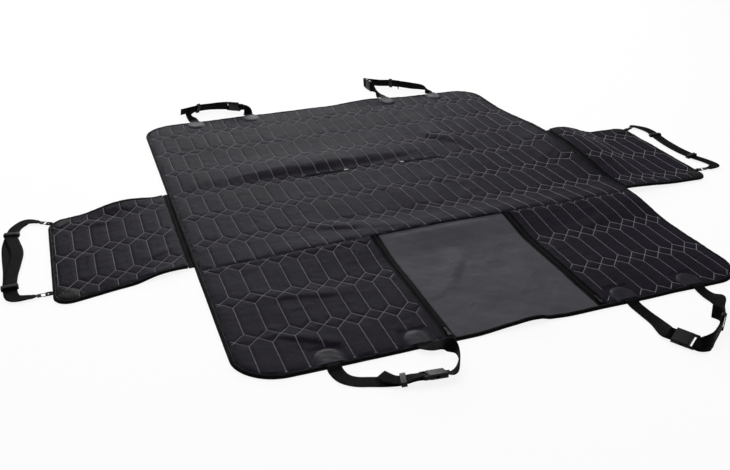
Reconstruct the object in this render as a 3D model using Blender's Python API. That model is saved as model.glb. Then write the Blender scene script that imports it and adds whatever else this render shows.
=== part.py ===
"""Hammock cover for a car's rear seat, spread out with its underside on the floor.

X runs across the car, Y towards the backrest edge, Z up. All lengths are in metres. The cloth is drawn
flat first, then every sewn piece is laid over the same low folds by drape().
"""

import math

import bmesh
import bpy
import numpy as np
from mathutils import Matrix, Vector

# Body of the cover
HALF_W = 0.6225
HALF_L = 0.75
CORNER_R = 0.06
CREASE_Y = 0.175
SEAM_Y = -0.275
GAP = 0.0004  # clearance between pieces that touch in the real thing

# Quilting: upright stitch lines whose ends open into diamonds
PITCH = 0.0447
PERIOD = 0.157
DIAMOND = 0.047
SEAM_THICK = 0.0045
PUFF = 0.0045
PUFF_INSET = 0.009
ROW_Y = 0.0625  # one row of diamonds in the back and seat panel
ROW_Y_FRONT = -0.437

# Edge tape, zips and the plain centre panel
TAPE_W = 0.009
TAPE_H = 0.0065
TAPE_STEP = 0.085
CENTRE_X = 0.19
ZIP_W = 0.022
ZIP_TEETH_W = 0.007
ZIP_H = 0.003
ZIP_TEETH_H = 0.0055
CENTRE_THICK = 0.0035

# Side flaps
FLAP_W = 0.33
FLAP_BACK_Y = 0.195
FLAP_FRONT_Y = -0.25
FLAP_R = 0.045
FLAP_ZIP_W = 0.012
FLAP_SHEAR = 0.22
FLAP_TAKEN_UP = 0.92
SLIP = 0.032  # how far the middle of the cloth has slid to the right at the front, between its side edges

# Seat-belt slits in the crease
SLIT_X = 0.162
SLIT_LEN = 0.15
SLIT_OPEN = 0.0025

# Straps
WEB_W = 0.032
WEB_T = 0.0016
ROOT_X = (0.258, 0.45)
PATCH_W = 0.068
PATCH_L = 0.060
PATCH_H = 0.0095
NOTCH = 0.014
WEB_Z = TAPE_H + 0.0006 + WEB_T / 2  # middle of the webbing where it crosses the edge tape
LAYER = 0.0026  # between the two layers of a doubled strap, middle to middle

# Buckles and sliders
BUCKLE_W = 0.040
BUCKLE_H = 0.011
SOCKET_L = 0.036
PLUG_L = 0.013
BAR_R = 0.0015
SLIDE_L = 0.012

# Folds: centre x, centre y, direction in degrees, half length, half width, height
FOLDS = (
    (0.665, 0.130, 90, 0.43, 0.160, 0.038),
    (0.100, -0.275, 0, 0.74, 0.130, 0.015),
    (0.640, -0.300, 0, 0.34, 0.150, 0.013),
    (0.190, 0.770, 0, 0.17, 0.100, 0.010),
    (0.310, 0.330, 90, 0.36, 0.070, 0.009),
    (-0.020, -0.770, 0, 0.12, 0.100, 0.009),
    (-0.760, 0.200, 0, 0.11, 0.080, 0.013),
    (-0.690, -0.260, 0, 0.08, 0.070, 0.009),
)

COLOURS = {
    "quilted_oxford": ((0.027, 0.025, 0.031), 0.78),
    "plain_oxford": ((0.055, 0.055, 0.060), 0.72),
    "edge_tape": ((0.009, 0.009, 0.010), 0.80),
    "zip_tape": ((0.008, 0.008, 0.009), 0.70),
    "coated_patch": ((0.045, 0.043, 0.052), 0.38),
    "webbing": ((0.008, 0.008, 0.008), 0.75),
    "buckle_plastic": ((0.010, 0.010, 0.011), 0.30),
    "zinc": ((0.42, 0.42, 0.43), 0.32),
}


def clear_scene():
    for thing in list(bpy.data.objects):
        bpy.data.objects.remove(thing, do_unlink=True)
    for group in list(bpy.data.collections):
        bpy.data.collections.remove(group)


def new_collection(name):
    group = bpy.data.collections.new(name)
    bpy.context.scene.collection.children.link(group)
    return group


clear_scene()
COVER = new_collection("hammock_seat_cover")
CUTTERS = new_collection("cutters")


def material(node, kind):
    colour, rough = COLOURS[kind]
    mat = bpy.data.materials.new(f"{node}_{kind}")
    mat.use_nodes = True
    shader = mat.node_tree.nodes["Principled BSDF"]
    shader.inputs["Base Color"].default_value = (*colour, 1.0)
    shader.inputs["Roughness"].default_value = rough
    shader.inputs["Metallic"].default_value = 1.0 if kind == "zinc" else 0.0
    return mat


def bump(t):
    """A smooth hill: 1 at t = 0, and 0 from |t| = 1 on."""
    return np.clip(1.0 - t * t, 0.0, None) ** 2


def lift(x, y):
    """Height of the cloth's underside above the floor at a point of the flat plan."""
    z = np.zeros_like(x)
    for cx, cy, angle, long, wide, high in FOLDS:
        c, s = math.cos(math.radians(angle)), math.sin(math.radians(angle))
        along = (x - cx) * c + (y - cy) * s
        across = (y - cy) * c - (x - cx) * s
        z = z + high * bump(along / long) * bump(across / wide)
    return z


def slip(x, y):
    """How far a point of the flat plan has slid to the right: most at the front, nothing at the side edges."""
    return SLIP * (0.6 - 0.4 * np.tanh((y + 0.05) / 0.2)) * np.clip(1 - (x / HALF_W) ** 4, 0.0, None)


def drape(points):
    """Flat plan to the cover as it lies: slid and lifted by its folds, the left flap skewed forwards."""
    p = np.array(points, float).reshape(-1, 3)
    x, y = p[:, 0], p[:, 1]
    left, right = np.minimum(x + HALF_W, 0.0), np.maximum(x - HALF_W, 0.0)
    across = x + slip(x, y) - (1 - FLAP_TAKEN_UP) * right
    return np.stack([across, y + FLAP_SHEAR * left, p[:, 2] + lift(x, y)], axis=1)


def drape_object(obj):
    mesh = obj.data
    flat = np.empty(len(mesh.vertices) * 3)
    mesh.vertices.foreach_get("co", flat)
    mesh.vertices.foreach_set("co", drape(flat).ravel())
    mesh.update()


def add(name, bm, kind, group=None):
    """Turns a bmesh into a named object with its own material."""
    bmesh.ops.recalc_face_normals(bm, faces=bm.faces)
    mesh = bpy.data.meshes.new(name)
    bm.to_mesh(mesh)
    bm.free()
    obj = bpy.data.objects.new(name, mesh)
    (group or COVER).objects.link(obj)
    if kind:
        mesh.materials.append(material(name, kind))
    return obj


def cutter(name, bm):
    obj = add(name, bm, None, CUTTERS)
    obj.hide_render = True
    obj.display_type = "WIRE"
    return obj


def cut(obj, tools, operation="DIFFERENCE"):
    """Exact Booleans, applied, so that the cloth can be draped after them."""
    for tool in tools:
        mod = obj.modifiers.new(tool.name, "BOOLEAN")
        mod.operation, mod.solver, mod.object = operation, "EXACT", tool
    bpy.context.view_layer.update()
    made = bpy.data.meshes.new_from_object(obj.evaluated_get(bpy.context.evaluated_depsgraph_get()))
    obj.modifiers.clear()
    obj.data = made
    return obj


def rounded(x0, x1, y0, y1, radii, steps=4):
    """Corners of a rectangle with rounded corners, anticlockwise from the lower left one."""
    out = []
    centres = ((x0, y0, 1, 1, 180), (x1, y0, -1, 1, 270), (x1, y1, -1, -1, 0), (x0, y1, 1, -1, 90))
    for (cx, cy, sx, sy, start), r in zip(centres, radii):
        if r <= 0:
            out.append((cx, cy))
            continue
        for i in range(steps + 1):
            a = math.radians(start + 90 * i / steps)
            out.append((cx + sx * r + r * math.cos(a), cy + sy * r + r * math.sin(a)))
    return out


def raise_by(bm, extruded, height):
    """Moves the new corners of an extrusion up."""
    corners = [v for v in extruded if isinstance(v, bmesh.types.BMVert)]
    bmesh.ops.translate(bm, verts=corners, vec=(0, 0, height))


def prism(outline, z0, z1):
    """A flat outline drawn up into a solid."""
    bm = bmesh.new()
    face = bm.faces.new([bm.verts.new((x, y, z0)) for x, y in outline])
    up = bmesh.ops.extrude_face_region(bm, geom=[face])["geom"]
    raise_by(bm, up, z1 - z0)
    return bm


def box(x0, x1, y0, y1, z0, z1):
    bm = bmesh.new()
    size = Matrix.Diagonal((x1 - x0, y1 - y0, z1 - z0, 1.0))
    mid = Matrix.Translation(((x0 + x1) / 2, (y0 + y1) / 2, (z0 + z1) / 2))
    bmesh.ops.create_cube(bm, size=1.0, matrix=mid @ size)
    return bm


def sweep(rings, closed=False):
    """A solid through a row of equal rings of points, joined at its ends or capped."""
    bm = bmesh.new()
    rows = [[bm.verts.new(p) for p in ring] for ring in rings]
    count, wide = len(rows), len(rows[0])
    for i in range(count if closed else count - 1):
        a, b = rows[i], rows[(i + 1) % count]
        for j in range(wide):
            k = (j + 1) % wide
            bm.faces.new((a[j], a[k], b[k], b[j]))
    if not closed:
        bm.faces.new(rows[0][::-1])
        bm.faces.new(rows[-1])
    return bm


# Quilted panels


def lattice(x0, x1, y0, y1, row_y):
    """Long hexagons and diamonds, as flat faces that share their corners, over a rectangle."""
    bm = bmesh.new()
    made = {}

    def corner(x, y):
        key = (round(x * 1e6), round(y * 1e6))
        if key not in made:
            made[key] = bm.verts.new((x, y, 0.0))
        return made[key]

    h = DIAMOND / 2
    for i in range(math.floor(x0 / PITCH) - 1, math.ceil(x1 / PITCH) + 2):
        for j in range(math.floor((y0 - row_y) / PERIOD) - 1, math.ceil((y1 - row_y) / PERIOD) + 2):
            x, y, r, t = i * PITCH, row_y + j * PERIOD, PITCH / 2, PERIOD
            low, high, right = y + h, y + t - h, x + 2 * r
            diamond = ((x - r, y), (x, y - h), (x + r, y), (x, y + h))
            hexagon = ((x + r, y), (right, low), (right, high), (x + r, y + t), (x, high), (x, low))
            bm.faces.new([corner(*c) for c in diamond])
            bm.faces.new([corner(*c) for c in hexagon])
    return bm


def clip(bm, outline):
    """Cuts the flat faces off along every side of a convex outline."""
    for a, b in zip(outline, outline[1:] + outline[:1]):
        bmesh.ops.bisect_plane(
            bm, geom=bm.verts[:] + bm.edges[:] + bm.faces[:], dist=1e-7,
            plane_co=(*a, 0), plane_no=(b[1] - a[1], a[0] - b[0], 0), clear_outer=True,
        )


def pad(bm):
    """Draws the flat faces up to the seams' thickness, then puffs every cell between its stitch lines."""
    up = bmesh.ops.extrude_face_region(bm, geom=bm.faces[:])["geom"]
    raise_by(bm, up, SEAM_THICK)
    bmesh.ops.recalc_face_normals(bm, faces=bm.faces)
    tops = [f for f in up if isinstance(f, bmesh.types.BMFace)]
    wide = {f: 2 * f.calc_area() / f.calc_perimeter() for f in tops}
    large = [f for f in tops if wide[f] > 0.026]
    small = [f for f in tops if 0.014 < wide[f] <= 0.026]
    bmesh.ops.inset_individual(bm, faces=large, thickness=PUFF_INSET, depth=PUFF, use_even_offset=True)
    bmesh.ops.poke(bm, faces=small, offset=0.6 * PUFF, center_mode="MEAN_WEIGHTED")


def quilted(name, outline, row_y, tools=()):
    xs, ys = [p[0] for p in outline], [p[1] for p in outline]
    bm = lattice(min(xs), max(xs), min(ys), max(ys), row_y)
    clip(bm, outline)
    pad(bm)
    obj = add(name, bm, "quilted_oxford")
    if tools:
        cut(obj, tools)
    drape_object(obj)
    return obj


# Sewn patches that hold the strap ends


def patch_outline(x, end, grow=0.0):
    """Half moon with its straight side along the edge tape; end is +1 at the back, -1 at the front."""
    half, deep = PATCH_W / 2 + grow, PATCH_L + grow
    edge = HALF_L - TAPE_W - GAP + (0.004 if grow else 0.0)
    arc = [math.pi * i / 8 for i in range(9)]
    low = edge - (0.004 if grow else 0.0) - 0.35 * deep
    points = [(x + half * math.cos(a), low - 0.65 * deep * math.sin(a)) for a in arc]
    points = [(x + half, edge), *points, (x - half, edge)]
    if end < 0:
        points = [(px, -py) for px, py in points]
    return points


def strap_patch(name, x, end):
    bm = prism(patch_outline(x, end), 0.0, 0.7 * PATCH_H)
    top = max(bm.faces, key=lambda f: f.calc_center_median().z)
    bmesh.ops.recalc_face_normals(bm, faces=bm.faces)
    bmesh.ops.inset_individual(bm, faces=[top], thickness=0.011, depth=0.3 * PATCH_H, use_even_offset=True)
    obj = add(name, bm, "coated_patch")
    y0, y1 = sorted((end * (HALF_L - TAPE_W - NOTCH), end * HALF_L))
    half = WEB_W / 2 + GAP
    notch = cutter(name + "_notch", box(x - half, x + half, y0, y1, WEB_Z - WEB_T / 2 - GAP, 0.03))
    cut(obj, [notch])
    drape_object(obj)


# Edge tape and zips


def tape_rings(outer, inner):
    """Cross-section of the folded tape at every point of the edge: square inside, sloped to the outside."""
    rings = []
    for out, into in zip(outer, inner):
        slope = tuple(a + 0.3 * (b - a) for a, b in zip(out, into))
        rings.append([(*out, 0.0), (*slope, TAPE_H), (*into, TAPE_H), (*into, 0.0)])
    return rings


def edge_tape():
    outer = rounded(-HALF_W, HALF_W, -HALF_L, HALF_L, (CORNER_R,) * 4)
    w = TAPE_W
    inner = rounded(w - HALF_W, HALF_W - w, w - HALF_L, HALF_L - w, (CORNER_R - w,) * 4)
    steps = [max(1, round(math.dist(a, b) / TAPE_STEP)) for a, b in zip(outer, outer[1:] + outer[:1])]
    divided = []
    for line in (outer, inner):
        row = []
        for (a, b), n in zip(zip(line, line[1:] + line[:1]), steps):
            row += [(a[0] + (b[0] - a[0]) * i / n, a[1] + (b[1] - a[1]) * i / n) for i in range(n)]
        divided.append(row)
    obj = add("edge_tape", sweep(tape_rings(*divided), closed=True), "edge_tape")
    drape_object(obj)


def flap_edges(side):
    """Inner and outer x of a flap's cloth, from its zip to its edge tape."""
    inner = HALF_W + GAP + FLAP_ZIP_W + GAP
    outer = HALF_W + FLAP_W
    return side * inner, side * outer


def flap_tape(name, side):
    inner, outer = flap_edges(side)
    w = TAPE_W

    def line(inset):
        x1 = abs(outer) - inset
        pts = rounded(-x1, x1, FLAP_FRONT_Y + inset, FLAP_BACK_Y - inset, (FLAP_R - inset,) * 4)
        pts = [p for p in pts if p[0] > 0]  # the right half: lower corner, then upper corner
        low, high = (abs(inner), FLAP_FRONT_Y + inset), (abs(inner), FLAP_BACK_Y - inset)
        pts = [low, *pts, high]
        out = []
        for a, b in zip(pts, pts[1:]):
            n = max(1, round(math.dist(a, b) / TAPE_STEP))
            out += [(a[0] + (b[0] - a[0]) * i / n, a[1] + (b[1] - a[1]) * i / n) for i in range(n)]
        out.append(pts[-1])
        return [(side * x, y) for x, y in out]

    obj = add(name, sweep(tape_rings(line(0.0), line(w))), "edge_tape")
    drape_object(obj)


def zip_strip(name, x, half, y0, y1, teeth_half, kind="zip_tape"):
    """A woven tape with the closed row of teeth standing along its middle."""
    section = (
        (-half, 0.0), (-half, ZIP_H), (-teeth_half, ZIP_H), (-teeth_half * 0.7, ZIP_TEETH_H),
        (teeth_half * 0.7, ZIP_TEETH_H), (teeth_half, ZIP_H), (half, ZIP_H), (half, 0.0),
    )
    n = max(2, round((y1 - y0) / 0.065))
    rings = [[(x + sx, y0 + (y1 - y0) * i / n, sz) for sx, sz in section] for i in range(n + 1)]
    obj = add(name, sweep(rings), kind)
    drape_object(obj)


def zip_pull(name, x, y):
    """The closed slider at the front end of its zip, with its pull tab laid along the teeth."""
    z = ZIP_TEETH_H + GAP
    bm = prism(rounded(x - 0.0045, x + 0.0045, y - 0.006, y + 0.006, (0.002,) * 4, 2), z, z + 0.003)
    obj = add(name, bm, "zinc")
    outline = rounded(x - 0.003, x + 0.003, y + 0.004, y + 0.026, (0.0025,) * 4, 2)
    cut(obj, [cutter(name + "_tab", prism(outline, z + 0.001, z + 0.0026))], "UNION")
    drape_object(obj)


def centre_panel():
    """The plain panel between the two zips, in a grid so that it follows the folds."""
    half = CENTRE_X - ZIP_W / 2 - GAP
    y0, y1 = -HALF_L + TAPE_W + GAP, SEAM_Y - GAP / 2
    bm = bmesh.new()
    bmesh.ops.create_grid(bm, x_segments=6, y_segments=8, size=0.5)
    bmesh.ops.transform(
        bm, verts=bm.verts,
        matrix=Matrix.Translation((0, (y0 + y1) / 2, 0)) @ Matrix.Diagonal((2 * half, y1 - y0, 1.0, 1.0)),
    )
    up = bmesh.ops.extrude_face_region(bm, geom=bm.faces[:])["geom"]
    raise_by(bm, up, CENTRE_THICK)
    drape_object(add("centre_panel", bm, "plain_oxford"))


# Webbing, buckles and sliders


def smooth(ctrl, n):
    """Catmull-Rom spline through rows of numbers."""
    c = np.array(ctrl, float)
    c = np.vstack([2 * c[0] - c[1], c, 2 * c[-1] - c[-2]])
    out = []
    for i in range(1, len(c) - 2):
        for j in range(n):
            t = j / n
            out.append(0.5 * (2 * c[i] + (c[i + 1] - c[i - 1]) * t
                              + (2 * c[i - 1] - 5 * c[i] + 4 * c[i + 1] - c[i + 2]) * t**2
                              + (3 * c[i] - c[i - 1] - 3 * c[i + 1] + c[i + 2]) * t**3))
    out.append(c[-2])
    return np.array(out)


def thinned(line, turn=0.14, reach=0.05):
    """Drops the points of a line where it neither bends nor twists."""
    keep = [0]
    for i in range(1, len(line) - 1):
        a, b, c = line[keep[-1]], line[i], line[i + 1]
        before, after = (b - a)[:3], (c - b)[:3]
        bend = np.arccos(np.clip(before @ after / np.linalg.norm(before) / np.linalg.norm(after), -1, 1))
        twist = np.linalg.norm(c[3:6] / np.linalg.norm(c[3:6]) - a[3:6] / np.linalg.norm(a[3:6]))
        if bend > turn or twist > turn or np.linalg.norm((c - a)[:3]) > reach:
            keep.append(i)
    return line[[*keep, len(line) - 1]]


def ribbon(ctrl, n=2):
    """Flat webbing through rows of (position, direction across it, and its width where that narrows)."""
    rows = [(*row, WEB_W) if len(row) == 6 else row for row in ctrl]
    line = thinned(smooth(rows, n))
    pos, across, width = line[:, :3], line[:, 3:6], line[:, 6:]
    run = np.gradient(pos, axis=0)
    run /= np.linalg.norm(run, axis=1)[:, None]
    across = across - run * (across * run).sum(1)[:, None]
    across /= np.linalg.norm(across, axis=1)[:, None]
    face = np.cross(run, across)
    a, f = across * width / 2, face * WEB_T / 2
    return sweep(np.stack([pos - a - f, pos + a - f, pos + a + f, pos - a + f], axis=1))


def rooted(x, end):
    """The first points of a strap: in its patch's notch, over the edge tape, down outside it."""
    out = []
    inner = HALF_L - TAPE_W - NOTCH + GAP
    for y, z in ((inner, WEB_Z), (HALF_L - TAPE_W, WEB_Z), (HALF_L + 0.001, WEB_Z), (HALF_L + 0.016, 0.0042)):
        left, mid, right = drape([(x + d * WEB_W, end * y, 0.0) for d in (-0.5, 0, 0.5)])
        keep = 1.0 if y <= HALF_L + 0.001 else 0.7
        wide = min(WEB_W, right[0] - left[0])
        base = max(mid[2], (left[2] + right[2]) / 2)
        out.append((mid[0], end * y, base * keep + z, 1, 0, keep * (right[2] - left[2]) / wide, wide))
    return out


def doubled(band, spread=0.0034):
    """Both layers of a strap that goes round a bar: out along the band, round the bar's end, and back."""
    b = np.array(band, float)
    run = np.gradient(b[:, :3], axis=0)
    run /= np.linalg.norm(run, axis=1)[:, None]
    face = np.cross(run, b[:, 3:])
    face /= np.linalg.norm(face, axis=1)[:, None]
    off = np.full(len(b), LAYER / 2)
    off[-1] = spread
    off[-2] = spread * 0.85
    first = [(*(p[:3] - face[i] * off[i]), *p[3:]) for i, p in enumerate(b)]
    back = [(*(p[:3] + face[i] * off[i]), *p[3:]) for i, p in enumerate(b)][::-1]
    turn = []
    for a in (-45, 0, 45):
        c, s = math.cos(math.radians(a)), math.sin(math.radians(a))
        turn.append((*(b[-1, :3] + run[-1] * spread * c + face[-1] * spread * s), *b[-1, 3:]))
    return first + turn + back


def frame_at(pos, along_dir, across_dir):
    """Local X along the strap, local Y across it, local Z out of its face."""
    x = Vector(along_dir).normalized()
    y = Vector(across_dir)
    y = (y - x * y.dot(x)).normalized()
    z = x.cross(y)
    m = Matrix((x, y, z)).transposed().to_4x4()
    m.translation = Vector(pos)
    return m


def rounded_box(x0, x1, y0, y1, z0, z1, r):
    bm = box(x0, x1, y0, y1, z0, z1)
    long = [e for e in bm.edges if abs((e.verts[0].co - e.verts[1].co).normalized().x) > 0.9]
    bmesh.ops.bevel(bm, geom=long, offset=r, segments=1, affect="EDGES")
    return bm


def socket(name, frame):
    """Female half: a shell open at its mouth, with side windows for the prongs and a slot for the strap."""
    w, h = BUCKLE_W / 2, BUCKLE_H / 2
    obj = add(name, rounded_box(0, SOCKET_L, -w, w, -h, h, 0.003), "buckle_plastic")
    tools = [
        box(-0.01, 0.025, -w + 0.0062, w - 0.0062, -h + 0.0024, h - 0.0024),
        box(0.008, 0.018, -w - 0.01, w + 0.01, -h + 0.0028, h - 0.0028),
        box(0.029, SOCKET_L + 0.01, -WEB_W / 2 - GAP, WEB_W / 2 + GAP, -WEB_T / 2 - GAP, WEB_T / 2 + GAP),
    ]
    cut(obj, [cutter(f"{name}_cut{i}", bm) for i, bm in enumerate(tools)])
    obj.data.transform(frame)


def plug(name, frame):
    """Male half: strap frame with its bar, a middle tongue and two prongs that show in the windows."""
    w, h = BUCKLE_W / 2, BUCKLE_H / 2 - 0.001
    obj = add(name, rounded_box(-PLUG_L, -GAP, -w, w, -h, h, 0.0025), "buckle_plastic")
    inside = BUCKLE_H / 2 - 0.0028 - GAP
    prong = [(-0.0015, 0.0128), (0.0092, 0.0128), (0.0092, 0.0182), (0.0140, 0.0174), (0.0170, 0.0120),
             (0.0150, 0.0092), (-0.0015, 0.0092)]
    tools = [box(-0.002, 0.022, -0.004, 0.004, 0.0008 - inside, inside - 0.0008)]
    tools += [prism([(x, side * y) for x, y in prong], -inside, inside) for side in (-1, 1)]
    cut(obj, [cutter(f"{name}_join{i}", bm) for i, bm in enumerate(tools)], "UNION")
    half = WEB_W / 2 + 0.0006
    above = box(-PLUG_L - 0.01, -0.0025, -half, half, BAR_R, 0.02)
    below = box(-PLUG_L - 0.01, -0.0025, -half, half, -0.02, -BAR_R)
    window = box(-PLUG_L + 2 * BAR_R, -0.0026, 0.0001 - half, half - 0.0001, -0.01, 0.01)
    cut(obj, [cutter(f"{name}_cut{i}", bm) for i, bm in enumerate((above, below, window))])
    obj.data.transform(frame)


def slider(name, frame):
    """A flat band of moulded plastic round both layers of the strap."""
    w, inner = WEB_W / 2 + 0.0038, WEB_W / 2 + 0.0012
    thick = (LAYER + WEB_T) / 2 + 0.0013
    outer = thick + 0.0018
    obj = add(name, rounded_box(-SLIDE_L / 2, SLIDE_L / 2, -w, w, -outer, outer, 0.0016), "buckle_plastic")
    cut(obj, [cutter(name + "_hole", box(-0.02, 0.02, -inner, inner, -thick, thick))])
    obj.data.transform(frame)


def moved(rows, dx, dy):
    """Points measured from an edge of the cover, put at that edge."""
    return [(row[0] + dx, row[1] + dy, *row[2:]) for row in rows]


def head_loop(tag, end, spec):
    """One headrest loop: the doubled strap with its slider and plug, and the plain strap with the socket.

    The points are measured in Y from the cover's edge.
    """
    edge, across = end * HALF_L, spec["across"]
    band, reach_a, reach_b, tail = (moved(spec[k], 0, edge) for k in ("band", "reach_a", "reach_b", "tail"))
    frame = frame_at(*moved([spec["mouth"]], 0, edge), spec["to_socket"], across)
    plug(f"{tag}_plug", frame)
    socket(f"{tag}_socket", frame)
    side = frame.to_3x3() @ Vector((0, 1, 0))
    near, bar = frame @ Vector((-PLUG_L - 0.012, 0, 0)), frame @ Vector((-PLUG_L + BAR_R, 0, 0))
    slide = tuple((p + q) / 2 for p, q in zip(band[0], band[1]))
    band = [band[0], slide, *band[1:], (*near, *side), (*bar, *side)]
    path = [*rooted(spec["root_a"], end), *reach_a, *doubled(band), *tail]
    add(f"{tag}_slider_strap", ribbon(path), "webbing")
    if side.dot(Vector(reach_b[-1][3:6])) < 0:
        side = -side
    into = [(*(frame @ Vector((SOCKET_L + d, 0, 0))), *side) for d in (0.016, 0.004, -0.006)]
    root = rooted(spec["root_b"], end)
    if "turn_b" in spec:
        root[-1:] = moved(spec["turn_b"], 0, edge)
    path = [*root, *reach_b, *into]
    add(f"{tag}_plain_strap", ribbon(path), "webbing")
    b = np.array(band)
    slider(f"{tag}_slider", frame_at(b[1, :3], b[1, :3] - b[0, :3], b[1, 3:]))


UP = (0, 0, 1)
TIPPED = (0, 0.53, -0.85)  # across a band that stands on its edge and leans towards the cover

LOOPS = {
    "back_left": (1, {
        "root_a": -ROOT_X[1], "root_b": -ROOT_X[0], "across": TIPPED,
        "reach_a": [(-0.446, 0.032, 0.0045, 1, 0, 0), (-0.452, 0.060, 0.0115, 0.85, 0.15, -0.5),
                    (-0.446, 0.083, 0.0165, 0.45, 0.4, -0.8)],
        "band": [(-0.427, 0.0955, 0.0200, *TIPPED), (-0.402, 0.103, 0.0200, *TIPPED),
                 (-0.366, 0.1075, 0.0185, *TIPPED)],
        "mouth": (-0.3026, 0.0797, 0.0212), "to_socket": (0.85, -0.53, 0),
        "tail": [(-0.452, 0.093, 0.0185, *TIPPED), (-0.478, 0.0885, 0.0168, *TIPPED)],
        "reach_b": [(-0.249, 0.034, 0.0105, 0.75, 0.05, 0.65)],
    }),
    "back_right": (1, {
        "root_a": ROOT_X[1], "root_b": ROOT_X[0], "across": TIPPED,
        "reach_a": [(0.456, 0.031, 0.0125, 0.8, 0.15, -0.55), (0.440, 0.053, 0.0175, 0.35, 0.45, -0.82),
                    (0.410, 0.079, 0.0180, *TIPPED), (0.376, 0.110, 0.0190, *TIPPED)],
        "band": [(0.354, 0.126, 0.0200, *TIPPED), (0.331, 0.139, 0.0200, *TIPPED),
                 (0.300, 0.155, 0.0190, *TIPPED), (0.266, 0.178, 0.0200, *TIPPED)],
        "mouth": (0.2516, 0.1494, 0.0212), "to_socket": (0.1, -0.995, 0),
        "tail": [(0.366, 0.112, 0.0190, *TIPPED), (0.362, 0.095, 0.0180, *TIPPED)],
        "reach_b": [(0.2645, 0.036, 0.0060, 1, 0, 0.1), (0.2640, 0.066, 0.0145, 0.7, 0.1, -0.7)],
    }),
    "front_left": (-1, {
        "root_a": -ROOT_X[1], "root_b": -ROOT_X[0], "across": (0, 0.93, -0.36),
        "reach_a": [(-0.419, -0.040, 0.0026, 1, 0.15, 0), (-0.400, -0.058, 0.0022, 0.7, 0.7, 0),
                    (-0.372, -0.069, 0.0022, 0.3, 1, 0), (-0.345, -0.080, 0.0034, 0.1, 1, 0)],
        "band": [(-0.322, -0.0895, 0.0068, 0.03, 1, -0.06), (-0.302, -0.095, 0.0098, 0, 0.97, -0.20)],
        "mouth": (-0.2624, -0.101, 0.0128), "to_socket": (0.995, -0.1, 0),
        "tail": [(-0.338, -0.080, 0.0095, 0.45, 0.88, 0), (-0.350, -0.062, 0.0095, 0.72, 0.68, 0)],
        "turn_b": [(-0.214, -0.010, 0.0104, 0.7, 0.72, 0)],
        "reach_b": [(-0.196, -0.012, 0.0112, 0.2, 1, 0.03), (-0.181, -0.019, 0.0140, 0.1, 0.85, 0.45),
                    (-0.1735, -0.038, 0.0185, 0, 0.35, 0.94), (-0.1775, -0.063, 0.0190, 0, 0.1, 1),
                    (-0.191, -0.088, 0.0170, 0, -0.4, 0.92)],
    }),
    "front_right": (-1, {
        "root_a": ROOT_X[1], "root_b": ROOT_X[0], "across": (0.82, 0.47, 0.33),
        "reach_a": [(0.473, -0.040, 0.0055, 1, 0, 0.1), (0.470, -0.070, 0.0135, 0.75, -0.2, 0.6),
                    (0.456, -0.100, 0.0190, 0.35, -0.1, 0.93), (0.437, -0.126, 0.0205, *UP)],
        "band": [(0.4185, -0.1475, 0.0212, *UP), (0.3985, -0.1655, 0.0210, *UP),
                 (0.368, -0.187, 0.0195, 0.1, 0.1, 1), (0.344, -0.2005, 0.0165, 0.45, 0.35, 0.8)],
        "mouth": (0.306, -0.182, 0.0124), "to_socket": (-0.5, 0.866, 0),
        "tail": [(0.424, -0.130, 0.0205, *UP), (0.418, -0.112, 0.0188, *UP)],
        "reach_b": [(0.291, -0.050, 0.0028, 1, 0, 0), (0.290, -0.095, 0.0055, 1, 0.15, 0.1)],
    }),
}


# Side flap straps


def tab(name, frame):
    """A stitched tab at the flap's edge, with the hole that its hook goes through."""
    obj = add(name, box(-0.013, 0.004, -0.008, 0.008, -0.0015, 0.0015), "webbing")
    cut(obj, [cutter(name + "_hole", box(-0.004, 0.0002, -0.004, 0.004, -0.01, 0.01))])
    obj.data.transform(frame)


def hook(name, frame):
    """A wire ring through the tab's hole, joined to the small block that the strap is sewn to."""
    path = [(-0.001, -0.0024), (0.0, -0.0036), (0.007, -0.0042), (0.014, -0.0036),
            (0.014, 0.0036), (0.007, 0.0042), (0.0, 0.0036), (-0.001, 0.0024)]
    r, rings = 0.0009, []
    for i, (x, z) in enumerate(path):
        a, b = path[i - 1], path[(i + 1) % len(path)]
        d = Vector((b[0] - a[0], 0, b[1] - a[1])).normalized()
        out = d.cross(Vector((0, 1, 0)))
        angles = [2 * math.pi * k / 5 for k in range(5)]
        side = Vector((0, 1, 0))
        rings.append([Vector((x, 0, z)) + (out * math.cos(t) + side * math.sin(t)) * r for t in angles])
    obj = add(name, sweep(rings, closed=True), "zinc")
    block = rounded_box(0.0135, 0.0225, -0.0055, 0.0055, -0.0022, 0.0022, 0.001)
    cut(obj, [cutter(name + "_block", block)], "UNION")
    obj.data.transform(frame)


def edge_frame(x, y, out):
    """Frame at a flap's edge, its X pointing out along the strap."""
    p = drape([(x, y, 0.0)])[0]
    run = Vector(out).normalized()
    origin = Vector((p[0], p[1], p[2] + 0.0054)) + run * 0.0119
    return frame_at(origin, run, (-run.y, run.x, 0))


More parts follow.
